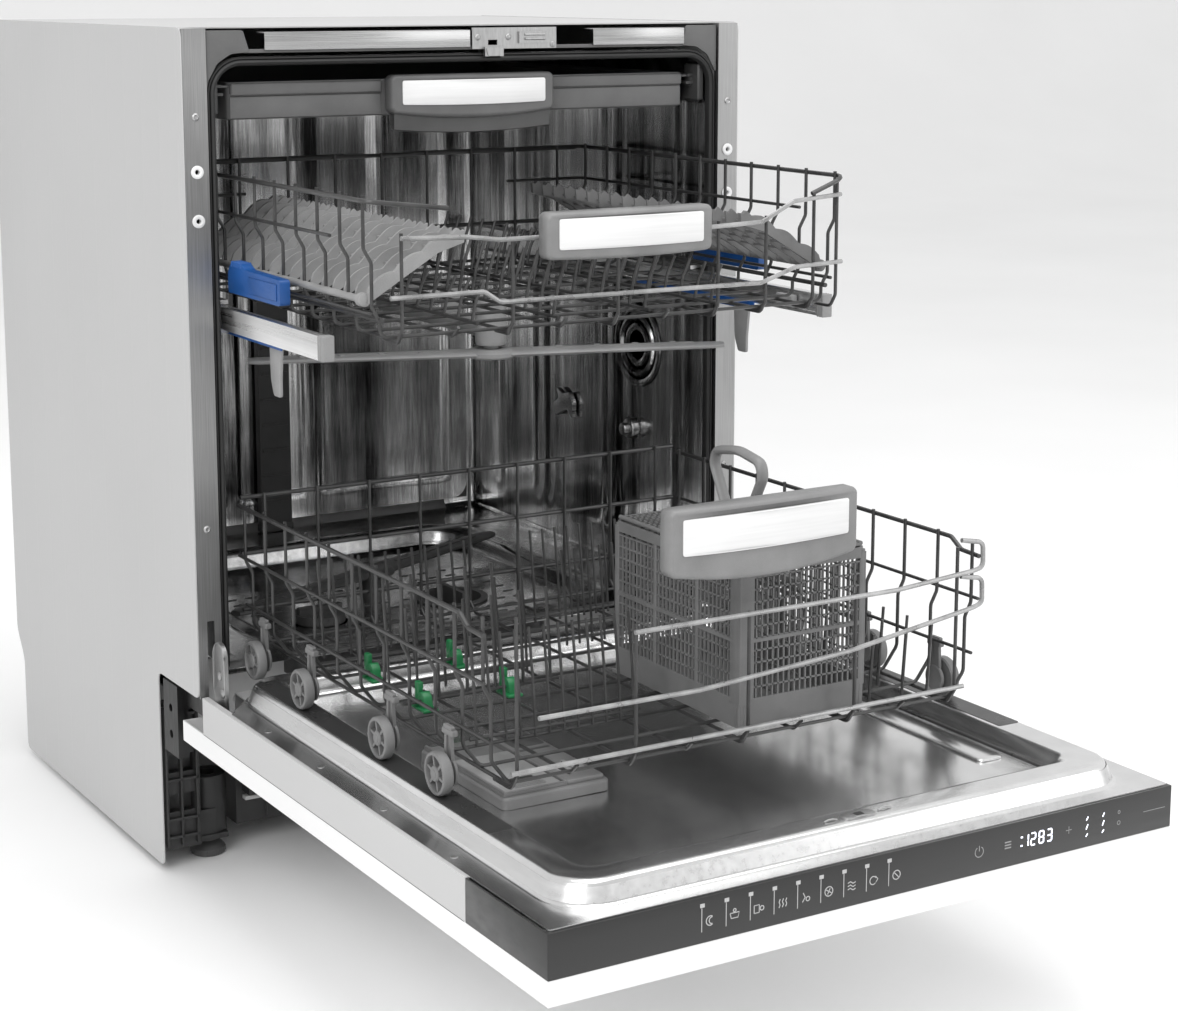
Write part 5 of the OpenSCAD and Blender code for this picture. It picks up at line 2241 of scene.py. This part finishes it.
    def tines(self) -> None:
        """Two fold-down rows, and the fixed rows beside them."""
        for node, body, y in (
            ("tines_left", "tine_row_rear", -150.0), ("tines_mid", "tine_row_front", -250.0)
        ):
            shape = Shape()
            z = self.floor + 12.0
            bent(shape, [[(-214.0, y, z), (-60.0, y, z)]], self.thin)
            bent(
                shape,
                [[(-206.0, y, z), (-206.0, y + 3.0, z + 40.0), (-206.0, y + 8.0, z + 82.0)]],
                self.thin - 0.1,
                10.0,
                6,
                (27.6, 0.0, 0.0),
            )
            shape.piece(f"{node}_bent", WIRE, body, "wire_coat", [node])
        shape = Shape()
        for y, x0, count, step in (
            (-60.0, -199.1, 12, 13.8), (-196.0, -199.1, 6, 27.6), (-356.0, -199.1, 12, 13.8),
            (-56.0, 14.0, 14, 13.8), (-140.0, 14.0, 14, 13.8),
        ):
            z = self.floor + 3.0
            bent(
                shape,
                [[(x0, y, z), (x0, y + 4.0, z + 44.0), (x0, y + 11.0, z + 90.0)]],
                self.thin - 0.2,
                10.0,
                count,
                (step, 0.0, 0.0),
                6,
            )
            bent(
                shape,
                [[(x0 - 6.0, y + 1.0, z + 6.0), (x0 + (count - 1) * step + 6.0, y + 1.0, z + 6.0)]],
                self.thin,
            )
        for x in (150.0, 186.0, 214.0):
            bent(
                shape,
                [[(x, -424.0, self.floor + 3.0), (x + 4.0, -424.0, self.floor + 62.0)]],
                self.thin - 0.2,
                5.0,
                6,
                (0.0, 34.0, 0.0),
                6,
            )
        shape.piece("low_fixed_tines", WIRE, "low_basket", "wire_coat")

    def clips(self) -> None:
        """Green pivot clips of the fold-down rows."""
        shape = Shape()
        for y in (-150.0, -250.0):
            for x in (-192.2, -109.4):
                shape.prism(
                    smooth_line(
                        [
                            (y - 8.0, 247.4), (y + 8.0, 247.4), (y + 6.0, 258.0), (y + 2.0, 262.0),
                            (y - 2.0, 262.0), (y - 6.0, 258.0),
                        ],
                        2.0,
                    ),
                    x - 4.0,
                    x + 4.0,
                    Plane.YZ,
                )
                shape.tube([(x - 9.0, y + 5.0, 250.0), (x + 9.0, y + 5.0, 250.0)], 2.0)
                shape.prism(
                    smooth_line(
                        [(y - 12.0, 246.4), (y + 12.0, 246.4), (y + 12.0, 249.0), (y - 12.0, 249.0)], 0.8
                    ),
                    x - 7.0,
                    x + 7.0,
                    Plane.YZ,
                )
                shape.block((x - 2.0, y + 8.0, 250.0), (x + 3.0, y + 16.0, 268.0), 0.8)
        shape.piece("tine_clips_green", GREEN, "low_basket", "plastic_green", ["tine_clips"], round_off=0.5)

    def carriers(self) -> None:
        """Moulded wheel carriers clipped to the side wires."""
        shape = Shape()
        z = 244.3
        for y in self.wheel_y:
            shape.lathe([(4.0, 2.2), (4.0, 14.6), (3.4, 15.4)], (self.half, y, z), Plane.YZ, 24)
            shape.lathe(
                [(11.0, -1.4), (12.0, -0.6), (12.0, 1.4), (10.4, 2.2)], (self.half, y, z), Plane.YZ, 32
            )
            plate = smooth_line(
                [
                    (y - 7.0, z), (y + 7.0, z), (y + 5.0, z + 30.0), (y + 7.5, z + 38.0),
                    (y - 7.5, z + 38.0), (y - 5.0, z + 30.0),
                ],
                2.0,
            )
            shape.prism(plate, self.half - 0.4, self.half + 2.6, Plane.YZ)
            shape.block((self.half - 2.5, y - 9.0, z + 30.0), (self.half + 3.2, y + 9.0, z + 35.0), 0.8)
            shape.block((self.half + 2.4, y - 1.0, z + 2.0), (self.half + 4.6, y + 1.0, z + 30.0), 0.4)
        shape.mirrored().piece(
            "wheel_carriers_moulded", MID_GREY, "low_basket", "plastic_grey", ["wheel_carriers"]
        )

    def wheels(self, letter: str, y: float) -> None:
        """One axis of two wheels with tread, rim, spokes and hub.

        Args:
            letter: the axis.
            y: its place along the basket.
        """
        shape = Shape()
        x, z = self.half + 9.5, 244.3
        shape.lathe(
            [
                (14.6, -3.6), (16.6, -3.9), (18.0, -2.6), (18.0, 3.8), (17.0, 5.2), (14.8, 5.5),
                (14.2, 4.6), (14.2, -3.0),
            ],
            (x, y, z),
            Plane.YZ,
            44,
        )
        shape.lathe([(4.1, -3.9), (6.2, -3.9), (6.6, 4.6), (5.6, 5.6), (4.1, 5.6)], (x, y, z), Plane.YZ, 28)
        shape.lathe([(6.0, -3.4), (14.8, -3.4), (14.8, -1.4), (6.0, -1.4)], (x, y, z), Plane.YZ, 36)
        for i in range(6):
            a = math.radians(60 * i + 15)
            c, s = math.cos(a), math.sin(a)
            bar = [
                (y + c * u - s * v, z + s * u + c * v)
                for u, v in ((5.4, -1.3), (15.0, -1.0), (15.0, 1.0), (5.4, 1.3))
            ]
            shape.prism(bar, x - 2.0, x + 4.2, Plane.YZ)
        shape.mirrored().piece(
            f"wheel_pair_{letter}", MID_GREY, f"wheel_axis_{letter}", "plastic_grey", [f"wheels_{letter}"]
        )


@dataclass
class CutleryBasket:
    """The lattice cutlery basket with two lid flaps and its loop handle."""

    x: float = 67.0
    y: float = -342.0
    z: float = 248.0
    width: float = 130.0
    length: float = 196.0
    height: float = 140.0

    def build(self) -> None:
        """Makes the walls, the flaps and the loop."""
        self.walls()
        for side in Side:
            self.flap(side)
        self.loop()

    def walls(self) -> None:
        """Corner posts, solid skirt, rim and lattice fields."""
        x, y, z, w, l, h = self.x, self.y, self.z, self.width, self.length, self.height
        shape = Shape()

        def band(low: float, high: float, taper: float = 0.0) -> None:
            """A solid band round the basket."""
            outer = [shifted(rounded(w + 2 * g, l + 2 * g, 8.0 + g), x, y) for g in (-taper, 0.0)]
            inner = [shifted(rounded(w + 2 * g, l + 2 * g, 8.0 + g), x, y) for g in (-2.2, -2.2 - taper)]
            shape.loft(
                [
                    level(outer[0], low),
                    level(outer[1], high),
                    level(inner[0], high),
                    level(inner[1], low),
                ],
                loop=True,
            )

        band(z, z + 25.0, 1.0)
        band(z + h - 9.0, z + h)
        band(z + h * 0.52, z + h * 0.52 + 3.0)
        shape.prism(shifted(rounded(w - 3.0, l - 3.0, 7.0), x, y), z + 0.6, z + 2.6)
        for sx in (-1, 1):
            for sy in (-1, 1):
                wide = 15.0 if (sx, sy) == (-1, -1) else 6.5
                cx, cy = x + sx * (w / 2 - wide / 2), y + sy * (l / 2 - wide / 2)
                low, high = cx - wide / 2, cx + wide / 2
                shape.prism(
                    shifted(rounded(wide, 2.4, 0.8, 2), cx, y + sy * (l / 2 - 1.3)), z + 20.0, z + h - 4.0
                )
                shape.prism(
                    shifted(rounded(2.4, wide, 0.8, 2), x + sx * (w / 2 - 1.3), cy), z + 20.0, z + h - 4.0
                )
                shape.prism(
                    shifted(rounded(6.0, 6.0, 2.6, 4), x + sx * (w / 2 - 3.2), y + sy * (l / 2 - 3.2)),
                    z + 2.0,
                    z + h - 2.0,
                )
                shape.block((cx - 5.0, cy - 5.0, z - 0.0), (cx + 5.0, cy + 5.0, z + 3.0), 0.8)
        for u in (-0.5, 0.5):
            for s in (-1, 1):
                shape.prism(
                    shifted(rounded(2.6, 5.0, 1.0, 2), x + s * (w / 2 - 1.4), y + u * l / 3),
                    z + 22.0,
                    z + h - 6.0,
                )
        for s in (-1, 1):
            latticed(
                shape,
                (w - 12.0, h - 36.0),
                (22, 11),
                1.3,
                1.7,
                (x, y + s * (l / 2 - 1.3), z + 24.0 + (h - 36.0) / 2),
            )
            latticed(
                shape,
                (l - 12.0, h - 36.0),
                (32, 11),
                1.3,
                1.7,
                (x + s * (w / 2 - 1.3), y, z + 24.0 + (h - 36.0) / 2),
                (0.0, 0.0, 90.0),
            )
        latticed(
            shape, (l - 10.0, h - 20.0), (16, 6), 1.5, 1.6, (x, y, z + 12.0 + (h - 20.0) / 2),
            (0.0, 0.0, 90.0),
        )
        shape.piece("cutlery_box_walls", MID_GREY, "cutlery_box", "plastic_grey", ["cutlery_basket"])

    def flap(self, side: Side) -> None:
        """One perforated lid flap, hinged along the long edge."""
        shape = Shape()
        z = self.z + 142.3
        cx = self.x + side.value * 36.5
        latticed(shape, (46.0, 188.0), (8, 25), 2.0, 2.4, (cx, self.y, z), (90.0, 0.0, 0.0))
        for dx in (-23.0, 23.0):
            shape.prism(shifted(rounded(2.6, 190.0, 1.0, 2), cx + dx, self.y), z - 1.3, z + 1.3)
        for dy in (-94.0, 94.0):
            shape.prism(shifted(rounded(47.0, 2.6, 1.0, 2), cx, self.y + dy), z - 1.3, z + 1.3)
        hinge = self.x + side.value * 61.0
        shape.tube([(hinge, self.y - 95.0, z + 0.7), (hinge, self.y + 95.0, z + 0.7)], 2.0)
        name = side.name.lower()
        shape.piece(f"cutlery_flap_{name}", MID_GREY, f"{name}_flap", "plastic_grey", [f"cutlery_lid_{name}"])

    def loop(self) -> None:
        """The loop handle on its stem, thick at the top."""
        x, y, z = self.x, self.y, self.z + 146.0
        line = smooth_line(
            [
                (-9.5, 0.0), (-37.0, 50.0), (-33.0, 62.0), (0.0, 67.5), (33.0, 62.0), (37.0, 50.0),
                (9.5, 0.0),
            ],
            9.0,
            5,
            closed=False,
        )
        rings = []
        for i, (v, h) in enumerate(line):
            a = Vector(line[max(0, i - 1)])
            b = Vector(line[min(len(line) - 1, i + 1)])
            ahead = (b - a).normalized()
            normal = Vector((-ahead.y, ahead.x))
            fat = 2.6 + 1.4 * min(1.0, h / 60.0) ** 2
            ring = []
            for k in range(12):
                t = 2 * math.pi * k / 12
                off = normal * fat * math.cos(t)
                ring.append((x + 5.6 * math.sin(t), y + v + off.x, z + h + off.y))
            rings.append(ring)
        shape = Shape().loft(rings)
        shape.prism(shifted(rounded(20.0, 22.0, 4.0), x, y), z - 28.0, z + 1.0, Plane.XY, 1.0)
        shape.block((x - 6.5, y - 12.5, z - 3.0), (x + 6.5, y + 12.5, z + 3.0), 1.4)
        shape.block((x - 4.0, y - 94.0, z - 33.0), (x + 4.0, y + 94.0, z - 27.0), 1.0)
        shape.piece("cutlery_loop", HANDLE_GREY, "cutlery_box", "plastic_grey", ["cutlery_grip"])


@dataclass
class UpperBasket:
    """The upper wire basket on its rails, with cup shelves and height levers."""

    half: float = 243.0
    front: float = -255.0
    back: float = 215.0
    floor: float = 566.0
    rim: float = 684.0
    thick: float = 2.1
    thin: float = 1.6
    cross: int = 11

    def build(self) -> None:
        """Makes every piece of the basket."""
        self.grid()
        self.rims()
        self.front_wires()
        self.tines()
        self.rails()
        self.levers()
        for side in Side:
            self.shelf(side)
        Handle("upper_handle_frame", "up_basket", "up_handle", 168.0, 40.0, 648.0, -259.0, 3.0, 2.0).build()
        self.feed()

    def grid(self) -> None:
        """Cross wires bent from rim to rim, with the inward jog of the sides."""
        shape = Shape()
        x, z = self.half - 2.8, self.floor + 2.8
        step = (self.back - self.front - 24.0) / (self.cross - 1)
        side = [
            (x, self.rim + 4.0), (x, self.rim - 40.0), (x - 7.0, self.rim - 52.0), (x - 7.0, z + 26.0),
            (x - 14.0, z + 14.0), (x - 14.0, z + 4.0), (x - 20.0, z),
        ]
        run = [(-u, self.front + 12.0, v) for u, v in side] + [
            (u, self.front + 12.0, v) for u, v in reversed(side)
        ]
        bent(shape, [run], self.thin, 7.0, self.cross, (0.0, step, 0.0))
        bent(
            shape,
            [
                [
                    (-210.0, self.front + 3.0, self.floor + 8.0), (-210.0, self.front + 12.0, self.floor),
                    (-210.0, self.back - 12.0, self.floor), (-210.0, self.back - 3.0, self.floor + 8.0),
                ]
            ],
            self.thin,
            7.0,
            9,
            (52.5, 0.0, 0.0),
        )
        bent(
            shape,
            [
                [(x, self.front + 6.0, self.floor + 18.0), (x, self.back - 6.0, self.floor + 18.0)]
                for x in (-self.half + 16.0, self.half - 16.0)
            ],
            self.thick,
        )
        shape.piece("up_cross_wires", WIRE, "up_basket", "wire_coat", ["up_floor_grid"])

    def rims(self) -> None:
        """The rim, turned in at the front corners, and the level side wires."""
        shape = Shape()
        runs = []
        for s in (-1, 1):
            x = s * self.half
            inner = -168.0 if s < 0 else 205.0
            drop = -9.0 if s < 0 else -14.0
            runs.append(
                [
                    (s * 40.0, self.back + 0.5, self.rim), (x, self.back + 0.5, self.rim),
                    (x, self.front, self.rim), (inner, self.front - 0.5, self.rim + drop),
                ]
            )
        bent(shape, runs, self.thick, 12.0)
        runs = []
        for s in (-1, 1):
            x = s * (self.half + 0.2)
            runs.append(
                [
                    (s * 150.0, self.back + 0.5, self.rim - 34.0), (x, self.back + 0.5, self.rim - 34.0),
                    (x, self.front + 70.0, self.rim - 34.0),
                ]
            )
            x = s * (self.half - 7.2)
            runs.append([(x, self.back - 6.0, self.floor + 24.0), (x, self.front + 10.0, self.floor + 24.0)])
        bent(shape, runs, self.thin, 9.0)
        shape.piece("up_rim_wires", WIRE, "up_basket", "wire_coat", ["up_sides"])

    def front_wires(self) -> None:
        """The two stepped front wires, the posts, and the wires across the back."""
        y = self.front - 0.5
        front = Shape()
        upper = [
            (-212.0, y, 652.0), (-150.0, y, 650.0), (-120.0, y, 646.0), (84.0, y, 645.0), (150.0, y, 647.0),
            (185.0, y, 664.0), (238.0, y, 668.0),
        ]
        lower = [
            (-222.0, y, 603.0), (-134.0, y, 603.0), (-119.0, y, 593.0), (150.0, y, 592.0),
            (188.0, y, 604.0), (240.0, y, 606.0),
        ]
        bent(front, [upper, lower], self.thick, 10.0)
        front.piece("up_front_wires", FRONT_WIRE, "up_basket", "wire_coat", ["up_ends"])
        dark = Shape()
        posts = [
            [
                (x, y + 3.4, top), (x, y + 3.4, self.floor + 9.0), (x, y + 11.0, self.floor - 2.4),
                (x, y + 34.0, self.floor - 2.4),
            ]
            for x, top in (
                (-210.0, 656.0), (-105.0, 650.0), (0.0, 648.0), (105.0, 650.0), (157.0, 652.0),
                (210.0, 672.0), (236.0, 680.0),
            )
        ]
        bent(dark, posts, self.thin, 7.0)
        back = self.back + 0.5
        bent(
            dark,
            [
                [(-self.half + 8.0, back, z), (self.half - 8.0, back, z)]
                for z in (self.rim - 1.0, self.floor + 40.0)
            ],
            self.thick,
        )
        bent(
            dark,
            [[(-210.0, back - 3.4, self.rim + 2.0), (-210.0, back - 3.4, self.floor + 4.0)]],
            self.thin,
            6.0,
            9,
            (52.5, 0.0, 0.0),
        )
        dark.piece("up_end_wires", WIRE, "up_basket", "wire_coat")

    def tines(self) -> None:
        """The two middle rows of slanting tines and the shorter rows beside them."""
        shape = Shape()
        z = self.floor + 6.4
        for x in (-50.0, 44.0):
            bent(shape, [[(x, self.front + 20.0, z), (x, self.back - 20.0, z)]], self.thin)
            bent(
                shape,
                [
                    [
                        (x, self.front + 30.0, z), (x + 5.0, self.front + 30.0, z + 26.0),
                        (x + 14.0, self.front + 30.0, z + 52.0),
                    ]
                ],
                self.thin - 0.1,
                12.0,
                17,
                (0.0, 25.0, 0.0),
                6,
            )
        for x in (-128.0, 118.0):
            bent(shape, [[(x, self.front + 24.0, z), (x, self.back - 24.0, z)]], self.thin)
            bent(
                shape,
                [
                    [
                        (x, self.front + 34.0, z), (x + 4.0, self.front + 34.0, z + 18.0),
                        (x + 12.0, self.front + 34.0, z + 34.0),
                    ]
                ],
                self.thin - 0.2,
                8.0,
                16,
                (0.0, 26.0, 0.0),
                6,
            )
        shape.piece("up_tine_rows", WIRE, "up_basket", "wire_coat", ["up_tines"])

    def rails(self) -> None:
        """Bright channel rails with ribbed pale grey end caps and roller brackets."""
        shape = Shape()
        z = 558.0
        section = [
            (263.4, z - 10.6), (263.4, z + 10.6), (255.0, z + 10.6), (254.2, z + 9.6), (254.2, z + 7.6),
            (255.6, z + 7.0), (255.6, z - 7.0), (254.2, z - 7.6), (254.2, z - 9.6), (255.0, z - 10.6),
        ]
        shape.prism(section, -200.0, 209.0, Plane.XZ)
        shape.mirrored().piece(
            "rail_channels", RAIL, "up_basket", "bright_steel", ["up_rails"], round_off=0.4
        )
        shape = Shape()
        for y in (-155.0, 155.0):
            shape.block((247.2, y - 14.0, z - 6.0), (254.4, y + 14.0, z + 6.0), 1.5)
            shape.lathe([(4.4, 0.0), (5.4, 0.6), (5.4, 5.4), (4.4, 6.0)], (247.0, y, z), Plane.YZ, 20)
        for i in range(3):
            shape.block((252.3, -211.0 + i * 3.6, z - 11.0), (264.0, -208.4 + i * 3.6, z + 11.0), 0.9)
        shape.block((253.0, -210.0, z - 10.2), (263.2, -198.0, z + 10.2), 0.8)
        shape.mirrored().piece("rail_caps", PALE_GREY, "up_basket", "plastic_grey", round_off=0.3)
        shape = Shape()
        shape.prism(
            smooth_line(
                [
                    (-96.0, 546.0), (-70.0, 546.0), (-72.0, 512.0), (-78.0, 498.0), (-92.0, 498.0),
                    (-92.0, 514.0),
                ],
                3.0,
            ),
            248.0,
            251.0,
            Plane.YZ,
        )
        shape.mirrored().piece("rail_tabs", PALE_GREY, "up_basket", "plastic_grey", round_off=0.6)

    def levers(self) -> None:
        """Blue height levers with a stepped thumb rest."""
        shape = Shape()
        top = smooth_line(
            [
                (-112.0, 582.0), (4.0, 582.0), (4.0, 600.0), (-4.0, 610.5), (-28.0, 610.5), (-36.0, 606.0),
                (-112.0, 605.0),
            ],
            4.0,
        )
        shape.prism(top, 248.0, 258.0, Plane.YZ)
        for i in range(5):
            shape.block((247.4, -27.0 + i * 5.0, 606.0), (258.6, -25.0 + i * 5.0, 611.4), 0.6)
        shape.block((258.0, -106.0, 586.0), (259.0, -44.0, 601.0), 0.4)
        shape.block((251.0, -100.0, 541.0), (252.6, 120.0, 549.0), 0.4)
        shape.mirrored().piece(
            "height_levers_blue", BLUE, "height_levers", "plastic_blue", ["adjusters"], round_off=0.8
        )

    def shelf(self, side: Side) -> None:
        """One fold-up cup shelf of scalloped fingers on a hinge rod."""
        shape = Shape()
        h, z0 = self.half, self.floor + 34.0
        count = 18
        top = [(h - 11.0, z0 + 4.0)]
        spine = [(10.0, 2.0), (44.0, 22.0), (78.0, 41.0), (102.0, 50.0)]
        for i in range(1, 29):
            t = i / 28
            u = 10.0 + 92.0 * t
            k = max(j for j in range(3) if spine[j][0] <= u + 1e-6)
            a, b = spine[k], spine[k + 1]
            lift = a[1] + (b[1] - a[1]) * (u - a[0]) / (b[0] - a[0])
            scallop = 5.0 + 4.0 * abs(math.sin(t * math.pi * 3.5))
            top.append((h - u, z0 + lift + scallop * (1.0 if t < 0.96 else 0.4)))
        bottom = [(h - 101.0, z0 + 43.0), (h - 76.0, z0 + 35.5), (h - 42.0, z0 + 15.5), (h - 11.0, z0 - 3.0)]
        outline = top + bottom
        gap = (self.back - self.front - 24.0) / (self.cross - 1)
        pitch = gap / 2
        for i in range(count):
            y = self.front + 12.0 + gap / 4 + i * pitch
            thick = 2.6 if i in (0, count - 1) else 1.2
            shape.prism(outline, y - thick, y + thick, Plane.XZ)
            if i < count - 1:
                for u, z in ((37.0, 16.2), (50.0, 24.3), (63.0, 31.8), (76.0, 39.2), (89.0, 44.0)):
                    shape.block((h - u - 2.0, y, z0 + z - 1.2), (h - u + 2.0, y + pitch, z0 + z + 1.2), 0.5)
        shape.tube([(h - 9.0, self.front + 26.0, z0), (h - 9.0, self.front + 426.0, z0)], 3.2, 14)
        shape.lathe(
            [(2.0, -2.0), (5.6, -1.0), (6.0, 6.0), (5.0, 9.0)],
            (h - 9.0, self.front + 24.0, z0),
            Plane.XZ,
            20,
        )
        shape.bend(lambda p: Vector((p.x * side.value, p.y, p.z)))
        name = side.name.lower()
        # Painted light and shade: the left shelf gets the paler grey and the right one the darker, as lit and
        # shaded copies of one moulding.
        finish = PALE_GREY if side is Side.LEFT else MID_GREY
        shape.piece(f"cup_shelf_{name}", finish, f"{name}_shelf", "plastic_grey", [f"shelf_{name}"])

    def feed(self) -> None:
        """The feed pipe under the floor, its clips and the arm's boss."""
        shape = Shape()
        middle = (self.front + self.back) / 2
        shape.tube(
            [(0.0, self.back - 3.0, 530.0), (0.0, middle + 12.0, 530.0), (0.0, middle, 528.0)], 8.6, 20
        )
        shape.lathe(
            [(7.8, 504.2), (7.8, 516.0), (14.0, 517.0), (15.0, 520.0), (15.0, 562.0), (12.0, 566.0)],
            (0.0, middle, 0.0),
            Plane.XY,
            32,
        )
        for y in (60.0, 150.0):
            shape.block((-10.5, y - 4.0, 536.0), (10.5, y + 4.0, 566.0), 1.0)
        shape.piece("feed_pipe", PALE_GREY, "up_basket", "plastic_grey")


@dataclass
class CutleryTray:
    """The top cutlery tray: ledged front walls, handle with label, ribs inside."""

    half: float = 246.0
    front: float = 24.0
    low: float = 732.0

    def build(self) -> None:
        """Makes the tray and its handle."""
        self.tray()
        self.handle()

    def tray(self) -> None:
        """A shallow tray with a stepped lip at the front and slotted floor."""
        shape = Shape()
        h, y, z = self.half, self.front, self.low + 4.0
        middle = y + 208.0
        outer = shifted(rounded(2 * h, 416.0, 5.0), 0.0, middle)
        inner = shifted(rounded(2 * h - 5.0, 411.0, 3.0), 0.0, middle)
        lip = shifted(rounded(2 * h - 3.0, 413.0, 4.0), 0.0, middle)
        shape.loft(
            [
                level(lip, z), level(outer, z + 2.0), level(outer, z + 34.0), level(inner, z + 34.0),
                level(inner, z + 2.4),
            ]
        )
        for s in (-1, 1):
            low, high = sorted((s * 240.0, s * 258.0))
            shape.block((low, y, z + 29.2), (high, y + 416.0, z + 31.4), 0.6)
            low, high = sorted((s * 92.0, s * 244.0))
            shape.block((low, y - 4.0, z + 22.0), (high, y + 0.5, z + 33.0), 1.4)
            shape.block((low, y - 1.2, z + 1.0), (high, y + 0.5, z + 21.0), 0.5)
        for i in range(12):
            shape.block((-240.0, y + 24.0 + i * 32.0, z + 2.0), (240.0, y + 26.0 + i * 32.0, z + 9.0), 0.5)
        shape.piece("tray_walls", GREY_PLASTIC, "tray", "plastic_grey", ["cutlery_tray"], round_off=0.4)

    def handle(self) -> None:
        """The handle block with its label and the finger lip below it, in a darker grey as painted shade
        under the handle.
        """
        z = self.low + 24.0
        Handle(
            "tray_handle_block", "tray", "tray_handle", 176.0, 36.0, z, self.front - 1.0, 2.5, 6.0,
            finish=GREY_PLASTIC, depth=15.0,
        ).build()
        shape = Shape()
        rows = []
        for y, low in ((self.front - 12.0, -16.0), (self.front - 9.0, -17.0), (self.front - 4.0, -14.0)):
            rows.append(
                [
                    (x, y - 2.0 * (1 - (x / 84.0) ** 2), self.low + 7.0 + low - 4.0 * (1 - (x / 84.0) ** 2))
                    for x in [-84.0 + 8.4 * i for i in range(21)]
                ]
            )
        rows.insert(0, [(x, self.front - 13.0, self.low + 9.0) for x in [-84.0 + 8.4 * i for i in range(21)]])
        rows.append([(x, self.front - 3.0, self.low + 8.0) for x in [-84.0 + 8.4 * i for i in range(21)]])
        shape.loft([list(r) for r in rows], closed=False)
        # The darker grey of the lip is painted shade under the handle.
        shape.piece("tray_finger_lip", DARK_GREY, "tray", "plastic_grey", thick=1.6)


@dataclass
class Base:
    """Black base pan, ribbed leg brackets, the cross plate and the feet."""

    plinth: float = 105.0
    feet: tuple[tuple[str, str, float, float], ...] = (
        ("foot_left", "left_foot", -240.0, 139.0),
        ("foot_right", "right_foot", 240.0, 139.0),
        ("foot_rear", "rear_foot", 0.0, 490.0),
    )

    def build(self) -> None:
        """Makes the base."""
        dress(BLACK, "base_pan", "leg_brackets")
        for node, body, x, y in self.feet:
            self.foot(node, body, x, y)
        self.ribs()
        self.cross_plate()

    def foot(self, node: str, body: str, x: float, y: float) -> None:
        """One adjustable foot.

        Args:
            node: the CAD node.
            body: the CAD body.
            x: place across.
            y: place along.
        """
        shape = Shape().lathe(
            [
                (2.0, 0.0), (15.5, 0.0), (17.0, 1.2), (17.0, 7.0), (15.0, 9.5), (11.5, 13.0), (9.0, 14.0),
                (9.0, 77.0), (8.0, 78.0),
            ],
            (x, y, 0.0),
            steps=36,
        )
        turns = [
            (x + 9.1 * math.cos(a * 0.5), y + 9.1 * math.sin(a * 0.5), 16.0 + a * 0.24)
            for a in range(0, 250)
        ]
        shape.tube(turns[:: 2], 0.5, 5)
        for i in range(16):
            a = 2 * math.pi * i / 16
            shape.tube([(x + 16.8 * math.cos(a), y + 16.8 * math.sin(a), h) for h in (1.4, 6.8)], 0.7, 6)
        shape.piece(f"{node}_turned", DARK_GREY, body, "plastic_grey", [node])

    def ribs(self) -> None:
        """Ribs, lugs and slots on the leg brackets and the pan."""
        shape = Shape()
        y = self.plinth
        for s in (-1, 1):
            for z in (34.0, 52.0, 92.0, 124.0, 158.0):
                low, high = sorted((s * 262.0, s * 294.0))
                shape.block((low, y - 3.0, z), (high, y + 6.0, z + 3.0), 0.5)
            for u in (262.0, 278.0, 293.0):
                low, high = sorted((s * u, s * (u + 2.4)))
                shape.block((low, y - 3.0, 26.0), (high, y + 4.0, 166.0), 0.5)
            low, high = sorted((s * 226.0, s * 256.0))
            shape.block((low, y + 12.0, 20.0), (high, y + 40.0, 26.0), 1.0)
        for x in range(-180, 181, 40):
            shape.block((x - 1.2, y + 24.5, 30.0), (x + 1.2, y + 27.0, 114.0), 0.5)
        shape.piece("base_ribs", BLACK, "cabinet", "plastic_black")

    def cross_plate(self) -> None:
        """The cross plate behind the legs, under the tub, in the casing's plain lacquer."""
        shape = Shape().prism(
            smooth_line([(-258.0, 122.0), (258.0, 122.0), (258.0, 196.0), (-258.0, 196.0)], 4.0),
            self.plinth + 44.0,
            self.plinth + 45.4,
            Plane.XZ,
        )
        for x in (-200.0, -70.0, 70.0, 200.0):
            shape.lathe([(3.0, 0.0), (5.0, 0.5), (5.0, 1.5)], (x, self.plinth + 42.6, 150.0), Plane.XZ, 16)
        shape.prism(
            [(-205.0, 52.0), (205.0, 52.0), (205.0, 56.0), (-205.0, 56.0)],
            self.plinth + 18.0,
            self.plinth + 27.0,
            Plane.XZ,
        )
        shape.piece("base_cross_plate", SHEET_PLAIN, "cabinet", "casing_paint", round_off=0.4)


def main() -> None:
    """Builds every sub-assembly in order."""
    logging.basicConfig(level=logging.INFO, format="%(message)s")
    Studio().build()
    Casing().build()
    Tub().build()
    SprayArm(
        "lower_arm_blade", "low_arm", "lower_spray_arm", 212.0, 24.0, (0.0, 250.0, 230.4), DARK_GREY,
        "plastic_dark",
    ).build()
    SprayArm(
        "upper_arm_blade", "up_arm", "upper_spray_arm", 232.0, -18.0, (0.0, -20.0, 505.0), PALE_GREY,
        "plastic_grey",
    ).build()
    Door().build()
    ControlPanel().build()
    Dispenser().build()
    LowerBasket().build()
    CutleryBasket().build()
    UpperBasket().build()
    CutleryTray().build()
    Base().build()


if __name__ == "__main__":
    main()
